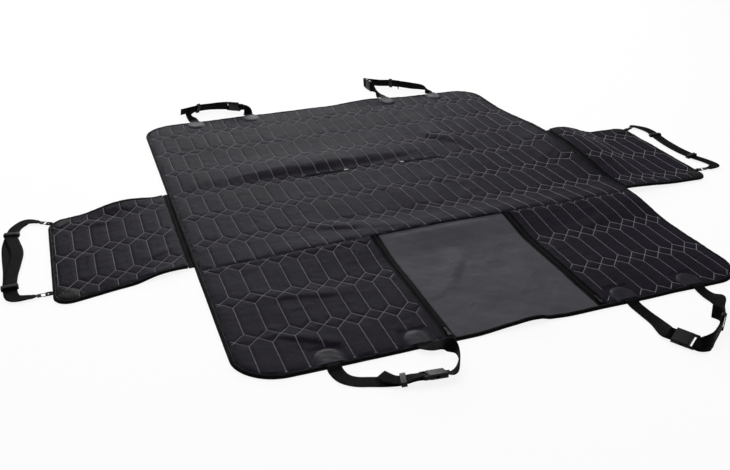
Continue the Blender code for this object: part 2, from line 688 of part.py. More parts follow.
def flap_strap(tag, side, spec):
    """The adjustable strap of a side flap, its second layer, two sliders, and a hook and tab at each end.

    The points are measured in X from the flap's outer edge, and the hooks' also in Y from its corners.
    """
    flat_edge = side * (HALF_W + FLAP_W)
    edge = drape([(flat_edge, 0, 0)])[0, 0]
    outer, inner = moved(spec["outer"], edge, 0), moved(spec["inner"], edge, 0)
    ends = []
    for place, (x, y, out) in spec["ends"].items():
        frame = edge_frame(x + flat_edge, y + (FLAP_BACK_Y if place == "back" else FLAP_FRONT_Y), out)
        tab(f"{tag}_tab_{place}", frame)
        hook(f"{tag}_hook_{place}", frame)
        ends.append(frame)

    def sewn(frame, near):
        wide = frame.to_3x3() @ Vector((0, 1, 0))
        wide = -wide if wide.dot(Vector(near[3:6])) < 0 else wide
        widths = ((0.0229, 0.009), (0.030, 0.020), (0.040, WEB_W))
        return [(*(frame @ Vector((d, 0, 0))), *wide, w) for d, w in widths]

    first, last = sewn(ends[0], outer[0]), sewn(ends[1], outer[-1])[::-1]
    add(f"{tag}_strap", ribbon([*first, *[(*row, WEB_W) for row in outer], *last]), "webbing")
    add(f"{tag}_strap_layer", ribbon(inner), "webbing")
    for place, (pos, run, across) in zip(("back", "front"), spec["sliders"]):
        slider(f"{tag}_slider_{place}", frame_at(*moved([pos], edge, 0), run, across))


FLAP_STRAPS = {
    "left_flap": {
        "ends": {"back": (0.0103, -0.0163, (-0.82, 0.574, 0)), "front": (0, 0.062, (-1, 0, 0))},
        "outer": [(-0.055, 0.144, 0.0050, 0.35, 0.9, 0), (-0.0785, 0.119, 0.0040, 0.85, -0.5, 0),
                  (-0.0875, 0.090, 0.0043, 0.97, -0.24, 0), (-0.092, 0.065, 0.0043, 0.97, -0.22, 0),
                  (-0.0985, 0.015, 0.0030, 1, 0, 0), (-0.0975, -0.050, 0.0030, 1, -0.1, 0),
                  (-0.0945, -0.110, 0.0036, 1, -0.05, 0), (-0.094, -0.160, 0.0040, 1, 0, 0),
                  (-0.094, -0.205, 0.0043, 1, 0.05, 0), (-0.085, -0.250, 0.0045, 0.85, -0.5, 0)],
        "inner": [(-0.0885, 0.086, 0.0069, 0.97, -0.22, 0), (-0.092, 0.064, 0.0069, 0.97, -0.2, 0),
                  (-0.086, 0.030, 0.0066, 1, -0.05, 0), (-0.0775, -0.030, 0.0064, 1, -0.1, 0),
                  (-0.083, -0.090, 0.0064, 1, 0.05, 0), (-0.091, -0.150, 0.0066, 1, 0, 0),
                  (-0.094, -0.210, 0.0069, 1, 0.05, 0)],
        "sliders": [((-0.0900, 0.077, 0.0056), (-0.18, -1, 0), (1, -0.18, 0)),
                    ((-0.094, -0.200, 0.0056), (0.02, -1, 0), (1, 0.02, 0))],
    },
    "right_flap": {
        "ends": {"back": (-0.0039, -0.0267, (0.88, 0.43, 0)), "front": (0, 0.06, (1, 0, 0))},
        "outer": [(0.063, 0.160, 0.0060, 0.6, -0.8, 0), (0.070, 0.130, 0.0045, 0.95, -0.2, 0),
                  (0.064, 0.100, 0.0043, 1, 0, 0), (0.056, 0.050, 0.0040, 1, 0, 0),
                  (0.052, 0.000, 0.0040, 1, 0, 0), (0.053, -0.050, 0.0040, 1, 0.05, 0),
                  (0.060, -0.095, 0.0043, 0.97, 0.2, 0), (0.076, -0.138, 0.0040, 0.97, 0.1, 0),
                  (0.079, -0.174, 0.0045, 0.75, -0.6, 0)],
        "inner": [(0.0645, 0.106, 0.0069, 1, 0, 0), (0.0625, 0.094, 0.0069, 1, 0, 0),
                  (0.055, 0.040, 0.0067, 1, 0, 0), (0.053, -0.030, 0.0067, 1, 0.05, 0),
                  (0.0585, -0.088, 0.0069, 0.97, 0.2, 0), (0.0615, -0.100, 0.0069, 0.97, 0.2, 0)],
        "sliders": [((0.0635, 0.098, 0.0056), (-0.13, -1, 0), (1, -0.13, 0)),
                    ((0.0592, -0.091, 0.0056), (0.22, -1, 0), (1, 0.22, 0))],
    },
}


def build():
    w = TAPE_W + GAP
    side = HALF_W - w
    r = CORNER_R - w
    patch_holes = {}
    for end, tag in ((1, "back"), (-1, "front")):
        for sx, hand in ((-1, "left"), (1, "right")):
            for k, x in enumerate(ROOT_X):
                name = f"{tag}_patch_{hand}_{('inner', 'outer')[k]}"
                strap_patch(name, sx * x, end)
                hole = cutter(name + "_hole", prism(patch_outline(sx * x, end, GAP), -0.01, 0.03))
                patch_holes[(end, sx, k)] = hole
    half, y0, y1 = SLIT_LEN / 2, CREASE_Y - SLIT_OPEN / 2, CREASE_Y + SLIT_OPEN / 2
    slits = [box(x - half, x + half, y0, y1, -0.01, 0.03) for x in (-SLIT_X, SLIT_X)]
    slits = [cutter(f"slit_{i}", bm) for i, bm in enumerate(slits)]
    back_holes = [h for (end, _, _), h in patch_holes.items() if end > 0]
    outline = rounded(-side, side, SEAM_Y + GAP / 2, HALF_L - w, (0, 0, r, r))
    quilted("back_and_seat_panel", outline, ROW_Y, back_holes + slits)
    inner = CENTRE_X + ZIP_W / 2 + GAP
    low, high = -HALF_L + w, SEAM_Y - GAP / 2
    for sx, tag in ((-1, "left"), (1, "right")):
        holes = [h for (end, s, _), h in patch_holes.items() if end < 0 and s == sx]
        if sx < 0:
            outline = rounded(-side, -inner, low, high, (r, 0, 0, 0))
        else:
            outline = rounded(inner, side, low, high, (0, r, 0, 0))
        quilted(f"front_{tag}_panel", outline, ROW_Y_FRONT + (0.014 if sx > 0 else 0.0), holes)
        x0, x1 = flap_edges(sx)
        x1 -= sx * w
        fr = FLAP_R - w
        ys = (FLAP_FRONT_Y + w, FLAP_BACK_Y - w)
        if sx < 0:
            outline = rounded(x1, x0, *ys, (fr, 0, 0, fr))
        else:
            outline = rounded(x0, x1, *ys, (0, fr, fr, 0))
        quilted(f"{tag}_flap_panel", outline, -0.03)
        flap_tape(f"{tag}_flap_tape", sx)
        mid = HALF_W + GAP + FLAP_ZIP_W / 2
        zip_strip(f"{tag}_flap_zip", sx * mid, FLAP_ZIP_W / 2, FLAP_FRONT_Y, FLAP_BACK_Y, 0.0025)
        zip_strip(f"centre_zip_{tag}", sx * CENTRE_X, ZIP_W / 2, low, high, ZIP_TEETH_W / 2)
        zip_pull(f"centre_zip_pull_{tag}", sx * CENTRE_X, low + 0.012)
    centre_panel()
    edge_tape()
    for tag, (end, spec) in LOOPS.items():
        head_loop(tag, end, spec)
    for (tag, spec), side in zip(FLAP_STRAPS.items(), (-1, 1)):
        flap_strap(tag, side, spec)


build()
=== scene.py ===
# %% [markdown]
# # A hammock cover for a car's rear seat
# The real thing is a quilted polyester cover with a plain panel between two zips, a zipped flap on each side,
# four headrest loops with side-release buckles, and a strap on each flap. It lies spread out on a floor.
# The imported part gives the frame, and every piece below is put in the same place, in metres.

# %% Load the frame
import math

import bmesh
import bpy
import numpy as np
from mathutils import Matrix, Vector


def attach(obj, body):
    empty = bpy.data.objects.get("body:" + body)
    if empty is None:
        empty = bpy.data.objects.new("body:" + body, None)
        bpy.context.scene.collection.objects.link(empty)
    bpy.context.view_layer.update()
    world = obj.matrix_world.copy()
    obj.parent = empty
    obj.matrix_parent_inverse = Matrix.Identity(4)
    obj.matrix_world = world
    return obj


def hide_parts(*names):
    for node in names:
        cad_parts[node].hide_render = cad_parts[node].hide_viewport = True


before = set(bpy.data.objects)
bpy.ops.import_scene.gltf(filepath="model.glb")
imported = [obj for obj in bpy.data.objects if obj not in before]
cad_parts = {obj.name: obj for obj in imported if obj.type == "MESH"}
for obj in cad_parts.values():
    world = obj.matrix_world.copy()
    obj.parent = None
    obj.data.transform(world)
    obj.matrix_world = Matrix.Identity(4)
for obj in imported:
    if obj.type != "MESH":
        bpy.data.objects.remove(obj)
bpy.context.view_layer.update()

# %% [markdown]
# ## The cut and how it lies
# A cover is drawn flat, as its maker cuts it. Cloth then lies in low folds. We keep one function for the
# folds and send every sewn piece through it, so the seams stay together wherever the cloth rises.
# The big folds are the part's own. Tucks and small wrinkles are added, which are too fine for its solids:
# a tuck is a short fold along a line, and the wrinkles are a few crossing waves.

# %% Sizes of the cut, in metres
HALF_W, HALF_L = 0.6225, 0.75
CORNER_R = 0.092  # rounder than the part's own, so the visible corners lie a little inside it
CREASE_Y, SEAM_Y, GAP = 0.175, -0.275, 0.0004
PITCH, PERIOD, DIAMOND = 0.0447, 0.157, 0.047
UNDER, SEAM_Z, PUFF_Z = 0.0002, 0.0050, 0.0023  # underside, top at a seam, and the padding's swell above it
SWELL_REACH, RIM_REACH, SLIT_REACH = 0.0110, 0.014, 0.016  # where stitches, edges and slits stop pressing on it
STITCH_STEP, STITCH_R, STITCH_PROUD = 0.0042, 0.0007, 0.0008
STITCH_UPRIGHT, STITCH_SLANTED = 0.0034, 0.0040  # lengths of a stitch
TAPE_W, TAPE_H = 0.009, 0.0065
CENTRE_X, ZIP_W, CENTRE_THICK = 0.19, 0.022, 0.0035
FLAP_W, FLAP_BACK_Y, FLAP_FRONT_Y, FLAP_R, FLAP_ZIP_W = 0.33, 0.195, -0.25, 0.045, 0.012
FLAP_SHEAR, FLAP_TAKEN_UP, SLIP = 0.22, 0.92, 0.032
SLIT_X, SLIT_LEN = 0.162, 0.15
WEB_W, WEB_T, LAYER = 0.032, 0.0016, 0.0026
ROOT_X, PATCH_W, PATCH_L, NOTCH = (0.258, 0.45), 0.068, 0.060, 0.014
WEB_Z = TAPE_H + 0.0006 + WEB_T / 2
PLUG_L, SOCKET_L, BAR_R = 0.013, 0.036, 0.0015

# %% Folds and wrinkles
FOLDS = (  # centre x, centre y, direction in degrees, half length, half width, height
    (0.665, 0.130, 90, 0.43, 0.160, 0.038),
    (0.100, -0.275, 0, 0.74, 0.130, 0.015),
    (0.640, -0.300, 0, 0.34, 0.150, 0.013),
    (0.190, 0.770, 0, 0.17, 0.100, 0.010),
    (0.310, 0.330, 90, 0.36, 0.070, 0.009),
    (-0.020, -0.770, 0, 0.12, 0.100, 0.009),
    (-0.760, 0.200, 0, 0.11, 0.080, 0.013),
    (-0.690, -0.260, 0, 0.08, 0.070, 0.009),
)
TUCKS = (  # from x, y to x, y, reach on the left of that line, reach on its right, height
    (-0.60, 0.232, 0.26, 0.252, 0.160, 0.050, 0.0120),
    (-0.64, -0.266, 0.64, -0.266, 0.070, 0.050, 0.0045),
    (-0.36, -0.130, -0.08, -0.252, 0.060, 0.026, 0.0065),
    (0.06, -0.230, -0.03, 0.070, 0.060, 0.018, 0.0075),
    (0.10, 0.060, 0.22, -0.060, 0.040, 0.022, 0.0025),
    (0.24, 0.400, 0.36, 0.190, 0.060, 0.026, 0.0060),
    (-0.54, -0.595, -0.40, -0.690, 0.030, 0.014, 0.0042),
    (-0.56, -0.440, -0.30, -0.500, 0.040, 0.020, 0.0034),
    (-0.19, -0.302, 0.19, -0.298, 0.018, 0.034, 0.0050),
    (0.030, -0.800, -0.030, -0.380, 0.070, 0.024, 0.0095),
    (-0.130, -0.580, 0.010, -0.390, 0.050, 0.022, 0.0060),
    (0.060, -0.700, 0.130, -0.440, 0.050, 0.030, 0.0050),
    (0.28, -0.420, 0.52, -0.360, 0.040, 0.024, 0.0025),
    (-0.74, -0.160, -0.64, -0.120, 0.030, 0.018, 0.0030),
    (-0.90, 0.130, -0.76, 0.090, 0.034, 0.018, 0.0030),
)


WRINKLES = ((0.0022, 0.21, 3, 0.15), (0.0012, 0.09, 5, 0.0))  # height, size, seed, how far over the hollows


def bump(t):
    """A smooth hill: (1 - t squared) squared, and nothing from |t| = 1 on."""
    return np.clip(1.0 - t * t, 0.0, None) ** 2


def ridge(x, y, cx, cy, angle, long, wide):
    """A long hill: one bump along its direction times one across it."""
    c, s = math.cos(math.radians(angle)), math.sin(math.radians(angle))
    return bump(((x - cx) * c + (y - cy) * s) / long) * bump(((y - cy) * c - (x - cx) * s) / wide)


def tuck(x, y, x0, y0, x1, y1, left, right):
    """A fold along a line: a hill across it with its own reach on either side, times 1 - t squared along it."""
    run = math.hypot(x1 - x0, y1 - y0)
    c, s = (x1 - x0) / run, (y1 - y0) / run
    along, off = ((x - x0) * c + (y - y0) * s) / run, (y - y0) * c - (x - x0) * s
    return bump(off / np.where(off > 0, left, right)) * (1 - (2 * np.clip(along, 0, 1) - 1) ** 2)


def waves(x, y, size, seed, count=6):
    """Soft noise: the mean of a few sine waves in seeded directions, about size apart."""
    rng = np.random.default_rng(seed)
    angle, phase = rng.uniform(0, math.pi, count), rng.uniform(0, 2 * math.pi, count)
    k = 2 * math.pi / (size * rng.uniform(0.75, 1.4, count))
    across = (x * math.cos(a) + y * math.sin(a) for a in angle)
    return sum(np.sin(k[i] * s + phase[i]) for i, s in enumerate(across)) / count


def run_length(points):
    """Length along a row of points, 0 at the first."""
    return np.concatenate([[0], np.cumsum(np.linalg.norm(np.diff(points, axis=0), axis=1))])


def lift(x, y):
    """Height of the cloth's underside: the sum of the folds and tucks, with wrinkles of a few millimetres."""
    x, y = np.asarray(x, float), np.asarray(y, float)
    z = np.zeros_like(x)
    for *shape, high in FOLDS:
        z = z + high * ridge(x, y, *shape)
    small = sum(high * np.clip(waves(x, y, size, seed) + over, 0, None) for high, size, seed, over in WRINKLES)
    for *line, high in TUCKS:
        z = z + high * tuck(x, y, *line)
    calm = np.clip((HALF_L - 0.03 - np.abs(y)) / 0.08, 0, 1)  # no ripples under the tape at the two ends
    rippled = 0.0011 * calm * np.clip(waves(0.3 * x + 0.1 * y, y, 0.026, 9, 9) + 0.1, 0, None)
    return z + small + rippled


def slip(x, y):
    """How far the cloth has slid to the right: a soft step in y, times 1 - (x / half width) to the power 4."""
    return SLIP * (0.6 - 0.4 * np.tanh((y + 0.05) / 0.2)) * np.clip(1 - (x / HALF_W) ** 4, 0.0, None)


def drape(p):
    """Flat plan to floor: slid and lifted by the folds, the left flap skewed and the right one taken up."""
    x, y = p[..., 0], p[..., 1]
    left, right = np.minimum(x + HALF_W, 0.0), np.maximum(x - HALF_W, 0.0)
    across = x + slip(x, y) - (1 - FLAP_TAKEN_UP) * right
    return np.stack([across, y + FLAP_SHEAR * left, p[..., 2] + lift(x, y)], axis=-1)


print("highest fold:", round(float(lift(*FOLDS[0][:2])) * 1000), "mm")

# %% [markdown]
# ## From a grid of points to a piece
# Each piece is a grid of points, worked out all at once, and its quads. A vertex also gets a place in the
# cloth's flat cut, in metres, as its UV. A weave drawn on that UV follows the cloth over every fold.


# %% Mesh helpers
def grid_faces(rows, cols, wrap_rows=False, wrap_cols=False):
    """Quads of a grid stored row after row, closed in either direction where asked."""
    steps = np.arange(rows - (not wrap_rows)), np.arange(cols - (not wrap_cols))
    i, j = np.meshgrid(*steps, indexing="ij")
    k, m = (i + 1) % rows, (j + 1) % cols
    return np.stack([i * cols + j, i * cols + m, k * cols + m, k * cols + j], -1).reshape(-1, 4).tolist()


def signed_volume(v, faces):
    """Six times the volume that the faces close, found by fanning each one from the origin."""
    total = 0.0
    for n in {len(f) for f in faces}:
        f = np.array([g for g in faces if len(g) == n])
        for k in range(1, n - 1):
            total += float((v[f[:, 0]] * np.cross(v[f[:, k]], v[f[:, k + 1]])).sum())
    return total


def settle(obj, material, replaces):
    """Links an object with its material, and makes it ride on the part's body in place of the solids named."""
    obj.data.materials.append(material)
    bpy.context.scene.collection.objects.link(obj)
    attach(obj, "root")
    if replaces:
        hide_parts(*replaces)
    return obj


def piece(name, v, faces, material, uv=None, replaces=()):
    """A closed, smooth object at the origin, turned inside out if its volume comes out negative."""
    v = np.ascontiguousarray(v, float).reshape(-1, 3)
    if signed_volume(v, faces) < 0:
        faces = [f[::-1] for f in faces]
    mesh = bpy.data.meshes.new(name)
    mesh.from_pydata(v.tolist(), [], faces)
    if uv is not None:
        at = np.empty(len(mesh.loops), np.int32)
        mesh.loops.foreach_get("vertex_index", at)
        mesh.uv_layers.new(name="cut").data.foreach_set("uv", np.asarray(uv, float).reshape(-1, 2)[at].ravel())
    mesh.polygons.foreach_set("use_smooth", np.full(len(mesh.polygons), True))
    return settle(bpy.data.objects.new(name, mesh), material, replaces)


# %% [markdown]
# ## Colours and nodes
# Colours are written as sRGB hex, as they look on a screen, and one function turns them to the linear
# values that a renderer adds up. One more function adds any node, with its settings and links.


# %% Colour and node helpers
def colour(text):
    """sRGB hex to linear: divide by 12.92 below 0.04045, else ((c + 0.055) / 1.055) to the power 2.4."""
    c = np.array([int(text[i:i + 2], 16) for i in (1, 3, 5)]) / 255
    return (*np.where(c <= 0.04045, c / 12.92, ((c + 0.055) / 1.055) ** 2.4), 1.0)


def node(tree, kind, inputs=None, **settings):
    """Adds a node. An input is a value, or an output socket to link from."""
    made = tree.nodes.new(kind)
    for key, value in settings.items():
        setattr(made, key, value)
    for key, value in (inputs or {}).items():
        if isinstance(value, bpy.types.NodeSocket):
            tree.links.new(value, made.inputs[key])
        else:
            made.inputs[key].default_value = value
    return made


def new_material(name, base, roughness, **sockets):
    """A material whose constant values sit on the shader's own sockets."""
    mat = bpy.data.materials.new(name)
    mat.use_nodes = True
    shader = mat.node_tree.nodes["Principled BSDF"]
    shader.inputs["Base Color"].default_value = colour(base)
    shader.inputs["Roughness"].default_value = roughness
    for key, value in sockets.items():
        shader.inputs[key.replace("_", " ")].default_value = value
    return mat, mat.node_tree, shader


def ramp(tree, value, stops):
    """A Color Ramp from (position, hex) pairs."""
    made = node(tree, "ShaderNodeValToRGB", {"Fac": value})
    points = made.color_ramp.elements
    while len(points) < len(stops):
        points.new(0.5)
    for point, (at, text) in zip(points, stops):
        point.position, point.color = at, colour(text)
    return made.outputs["Color"]


def bump_node(tree, height, distance, strength, normal=None):
    """A normal tilted by the slope of a height, over an earlier normal if one is given."""
    under = {} if normal is None else {"Normal": normal}
    inputs = {"Height": height, "Distance": distance, "Strength": strength, **under}
    return node(tree, "ShaderNodeBump", inputs).outputs["Normal"]


def noise(tree, place, scale, detail, **more):
    """Fractal noise with the given number of cells to the metre."""
    inputs = {"Vector": place, "Scale": scale, "Detail": detail, **more}
    return node(tree, "ShaderNodeTexNoise", inputs).outputs["Fac"]


def maths(tree, operation, *values):
    """One step of arithmetic on values or sockets."""
    return node(tree, "ShaderNodeMath", dict(enumerate(values)), operation=operation).outputs[0]


def wire(tree, shader, **sockets):
    """Links sockets to the shader's inputs by name."""
    for key, socket in sockets.items():
        tree.links.new(socket, shader.inputs[key.replace("_", " ")])


def object_place(tree):
    """Position in the object's own coordinates, in metres."""
    return node(tree, "ShaderNodeTexCoord").outputs["Object"]


def woven(tree, pitch):
    """Height of a plain weave: sine across times sine along, one thread every pitch metres of the cut."""
    uv = node(tree, "ShaderNodeTexCoord").outputs["UV"]
    axes = node(tree, "ShaderNodeSeparateXYZ", {"Vector": uv}).outputs
    across, along = (maths(tree, "SINE", maths(tree, "MULTIPLY", axes[k], math.pi / pitch)) for k in ("X", "Y"))
    return uv, maths(tree, "MULTIPLY", across, along)


# %% [markdown]
# ## Polyester oxford
# The quilt's face is oxford cloth: thick polyester yarn in a plain weave, coated behind, dyed black. It looks
# matt from above and pales at a low angle, where each yarn shows its side. A bump of the weave, a sheen and
# a soft mottling give that, and a slow bump crumples it. Yarn is about 0.5 mm apart, drawn 1.1 mm apart so
# that a close view shows it.


# %% Oxford cloth
def oxford(name, dark, light, roughness, sheen, pitch=0.0011):
    """Woven cloth whose tone is slow noise times fine noise plus 0.12, on a ramp from dark to light."""
    mat, tree, shader = new_material(name, dark, roughness, Sheen_Weight=sheen, Sheen_Roughness=0.35,
                                     Specular_IOR_Level=0.02)
    shader.inputs["Sheen Tint"].default_value = colour("#cfc6ea")
    uv, weave = woven(tree, pitch)
    fine = noise(tree, uv, 420.0, 2.0)
    tone = maths(tree, "MULTIPLY_ADD", noise(tree, uv, 7.0, 6.0, Roughness=0.62), fine, 0.12)
    crumple = noise(tree, uv, 26.0, 3.0, Roughness=0.45, Distortion=1.1)
    normal = bump_node(tree, fine, 0.0006, 0.5, bump_node(tree, crumple, 0.0045, 0.55))
    wire(tree, shader, Base_Color=ramp(tree, tone, ((0.22, dark), (0.62, light))),
         Normal=bump_node(tree, weave, 0.0002, 0.7, normal))
    return mat


QUILT = oxford("polyester_oxford_quilted", "#120f16", "#1b1821", 0.55, 0.036)
PLAIN = oxford("polyester_oxford_plain", "#3f3e43", "#4a494e", 0.60, 0.03, 0.0014)
print("cloths:", QUILT.name, PLAIN.name)

# %% [markdown]
# ## Thread, tape, webbing, plastic and metal
# Thread is spun polyester, paler than the cloth. The webbing is woven polypropylene with a rib every 1.6 mm,
# and the tapes are finer and of polyester. Buckles are moulded acetal with a fine spark-eroded grain. The
# hooks are cast zinc with a dark nickel plating, smooth but for small scratches, and the zips' pulls are
# painted black. The patches are cloth with a coating that fills the weave.


# %% Thread and webbing
def thread(name, dark, light):
    """Spun thread: patches of two tones every few centimetres, and a fine bump for the twist."""
    mat, tree, shader = new_material(name, dark, 0.55, Sheen_Weight=0.15)
    place = object_place(tree)
    wire(tree, shader, Base_Color=ramp(tree, noise(tree, place, 38.0, 3.0), ((0.3, dark), (0.7, light))),
         Normal=bump_node(tree, noise(tree, place, 2500.0, 0.0), 0.0002, 0.6))
    return mat


def webbing_material(name, dark, light, rib=0.0016, roughness=0.55):
    """Plain weave with a rib every rib metres; its tone is 0.18 times the weave's height, which is painted shade
    darker between the yarns, plus noise.
    """
    mat, tree, shader = new_material(name, dark, roughness, Specular_IOR_Level=0.02)
    uv, weave = woven(tree, rib)
    # painted shade: the tone rises with the weave's height, so the hollows between the yarns are darker; the noise
    # is random tone
    tone = maths(tree, "ADD", maths(tree, "MULTIPLY", weave, 0.18), noise(tree, uv, 60.0, 4.0))
    wire(tree, shader, Base_Color=ramp(tree, tone, ((0.35, dark), (0.72, light))),
         Normal=bump_node(tree, weave, 0.00035, 0.9))
    return mat


THREAD = thread("polyester_thread_grey", "#716e76", "#8f8c94")
DARK_THREAD = thread("polyester_thread_black", "#1d1c1f", "#2a292c")
WHITE_THREAD = thread("polyester_thread_white", "#c9c8ca", "#eceaea")
WEBBING = webbing_material("polypropylene_webbing_woven", "#040405", "#0a0a0c")
TAPE = webbing_material("polyester_binding_tape", "#060607", "#0c0c0e", 0.0012, 0.6)
ZIP_TAPE = webbing_material("polyester_zip_tape_woven", "#070708", "#0e0e10", 0.0010, 0.6)


# %% Plastic, coated cloth and metal
def moulded(name, base, roughness, grain=900.0):
    """A moulded or painted surface: fine grit as bump, and a roughness that noise spreads by 0.18."""
    mat, tree, shader = new_material(name, base, roughness, IOR=1.48, Specular_IOR_Level=0.13)
    place = object_place(tree)
    worn = {"Value": noise(tree, place, 45.0, 5.0), "To Min": roughness - 0.06, "To Max": roughness + 0.12}
    wire(tree, shader, Roughness=node(tree, "ShaderNodeMapRange", worn).outputs[0],
         Normal=bump_node(tree, noise(tree, place, grain, 2.0), 0.00012, 0.5))
    return mat


def coated(name, dark, light, roughness, shine):
    """Coated cloth: the coating fills the weave, so the shine is smooth and broken by soft creases, whose shade is
    painted into the colour, darker in their hollows.
    """
    mat, tree, shader = new_material(name, dark, roughness, IOR=1.5, Specular_IOR_Level=shine)
    uv, weave = woven(tree, 0.0009)
    crease = noise(tree, uv, 55.0, 4.0, Distortion=0.8)
    # painted shade: the colour follows the same crease noise as the bump, darker in the creases' hollows and
    # lighter on their ridges
    wire(tree, shader, Base_Color=ramp(tree, crease, ((0.3, dark), (0.7, light))),
         Normal=bump_node(tree, weave, 0.0001, 0.5, bump_node(tree, crease, 0.0008, 0.6)))
    return mat


def plated(name, base, roughness):
    """Plated metal with small scratches as bump."""
    mat, tree, shader = new_material(name, base, roughness, Metallic=1.0)
    wire(tree, shader, Normal=bump_node(tree, noise(tree, object_place(tree), 700.0, 3.0), 0.0001, 0.4))
    return mat


ACETAL = moulded("acetal_moulded", "#0b0b0d", 0.42)
COIL = moulded("nylon_zip_coil", "#161619", 0.38, 1500.0)
PAINTED = moulded("zinc_cast_painted_black", "#0d0d0f", 0.42, 1200.0)
PATCH = coated("oxford_coated_patch", "#17151b", "#221f27", 0.46, 0.05)
CORNER = coated("oxford_coated_black", "#0e0d0f", "#151417", 0.5, 0.04)
ZINC = plated("zinc_black_nickel_plated", "#313135", 0.34)
print("finishes:", ", ".join(m.name for m in (THREAD, WEBBING, TAPE, ACETAL, COIL, PATCH, ZINC)))

# %% [markdown]
# ## The quilting
# Stitch lines run up the cloth every 44.7 mm. Each line opens into a diamond and closes again, row after row,
# which leaves long hexagons between the lines. The padding is flat under a stitch and swells away from it, so
# its height only needs the distance to the nearest line of stitches. By symmetry that is a small sum.


# %% Distance to the stitches, and the padding's height
def stitch_distance(x, y, row_y):
    """Distance to the nearest stitch line: folded into a quarter cell, it is the nearer of the upright
    line beyond the diamond's tip and the diamond's slanted side."""
    u = np.abs(x - PITCH * np.round(x / PITCH))
    v = np.abs(y - row_y - PERIOD * np.round((y - row_y) / PERIOD))
    r, h = PITCH / 2, DIAMOND / 2
    t = np.clip((u * r + (h - v) * h) / (r * r + h * h), 0, 1)
    slant = np.hypot(u - r * t, v - h * (1 - t))
    upright = np.where(v >= h, u, np.hypot(u, h - v))
    return np.minimum(slant, upright)


def side_x(panel, y):
    """Left and right edge of a panel at height y: straight, then in along a quarter circle at a corner."""
    x0, x1, y0, y1 = panel["box"]
    low_left, low_right, up_right, up_left = panel["radii"]

    def inset(r, gap):
        """How far in a quarter circle of radius r lies at a distance gap from its end."""
        return r - np.sqrt(np.clip(r * r - np.clip(r - gap, 0, r) ** 2, 0, None)) if r else 0 * gap

    left = np.maximum(inset(low_left, y - y0), inset(up_left, y1 - y))
    right = np.maximum(inset(low_right, y - y0), inset(up_right, y1 - y))
    return x0 + left, x1 - right


def patch_mask(x, y):
    """1 on the eight strap patches, 0 away from them, over a 6 mm step that ends 4 mm outside them."""
    margin, step = 0.004, 0.006
    near = np.zeros_like(x)
    for root in ROOT_X:
        across = np.clip((PATCH_W / 2 + margin - np.abs(np.abs(x) - root)) / step, 0, 1)
        deep = np.clip((np.abs(y) - (HALF_L - TAPE_W - PATCH_L - margin)) / step, 0, 1)
        near = np.maximum(near, across * deep)
    return near


def slit_distance(x, y):
    """Distance to the nearer of the two seat-belt slits in the crease."""
    return np.hypot(np.clip(np.abs(np.abs(x) - SLIT_X) - SLIT_LEN / 2, 0, None), y - CREASE_Y)


def eased(gap, reach):
    """0 on a line and 1 from reach on: 1 - (1 - gap / reach) squared."""
    return 1 - (1 - np.clip(gap / reach, 0, 1)) ** 2


def quilt_top(panel, x, y):
    """Top of the cloth over its underside: the seam's thickness, and the padding's swell
    1 - (1 - d / reach) to the power 2.2, faded out at the edges, patches and slits, with small puckers
    along the stitches. The back and seat panel also dips by 2.2 mm along its crease."""
    d = stitch_distance(x, y, panel["row"])
    swell = 1 - (1 - np.clip(d / SWELL_REACH, 0, 1)) ** 2.2
    left, right = side_x(panel, y)
    _, _, y0, y1 = panel["box"]
    rim_gap = np.minimum(np.minimum(x - left, right - x), np.minimum(y - y0, y1 - y))
    fade = eased(rim_gap, RIM_REACH) * (1 - 0.9 * patch_mask(x, y))
    crease = 0.0
    if panel["slits"]:
        fade = fade * eased(slit_distance(x, y), SLIT_REACH)
        middle = bump(np.clip((x + 0.14) / 0.48, -1, 1))
        crease = 0.0022 * np.exp(-(((y - CREASE_Y) / 0.0045) ** 2)) * middle
    uneven = 1 + 0.22 * waves(x, y, 0.07, 11)
    pucker = 0.00045 * np.exp(-d / 0.006) * waves(x, y, 0.0125, 17, 8)
    return SEAM_Z + PUFF_Z * swell * fade * uneven + pucker * fade - crease


w = TAPE_W + GAP
side, corner = HALF_W - w, CORNER_R - w
inner = CENTRE_X + ZIP_W / 2 + GAP
flap_in, flap_out, flap_r = HALF_W + GAP + FLAP_ZIP_W + GAP, HALF_W + FLAP_W - w, FLAP_R - w
low, seam = -HALF_L + w, SEAM_Y - GAP / 2
flap_low, flap_high = FLAP_FRONT_Y + w, FLAP_BACK_Y - w


def panel_of(box, radii, row, slits=False):
    """A panel's x0, x1, y0, y1, its corners' radii from low left anticlockwise, and a row of diamonds' y."""
    return {"box": box, "radii": radii, "row": row, "slits": slits}


PANELS = {
    "back_and_seat": panel_of((-side, side, SEAM_Y + GAP / 2, HALF_L - w), (0, 0, corner, corner), 0.0105, True),
    "front_left": panel_of((-side, -inner, low, seam), (corner, 0, 0, 0), -0.444),
    "front_right": panel_of((inner, side, low, seam), (0, corner, 0, 0), -0.423),
    "left_flap": panel_of((-flap_out, -flap_in, flap_low, flap_high), (flap_r, 0, 0, flap_r), -0.03),
    "right_flap": panel_of((flap_in, flap_out, flap_low, flap_high), (0, flap_r, flap_r, 0), -0.03),
}

# %% [markdown]
# A panel is closed like a real layer of padding: a fine grid on top, a grid four times as coarse below, and
# a rim of narrow faces that joins them. The fine grid's columns fall on the stitch lines, so they stay crisp.


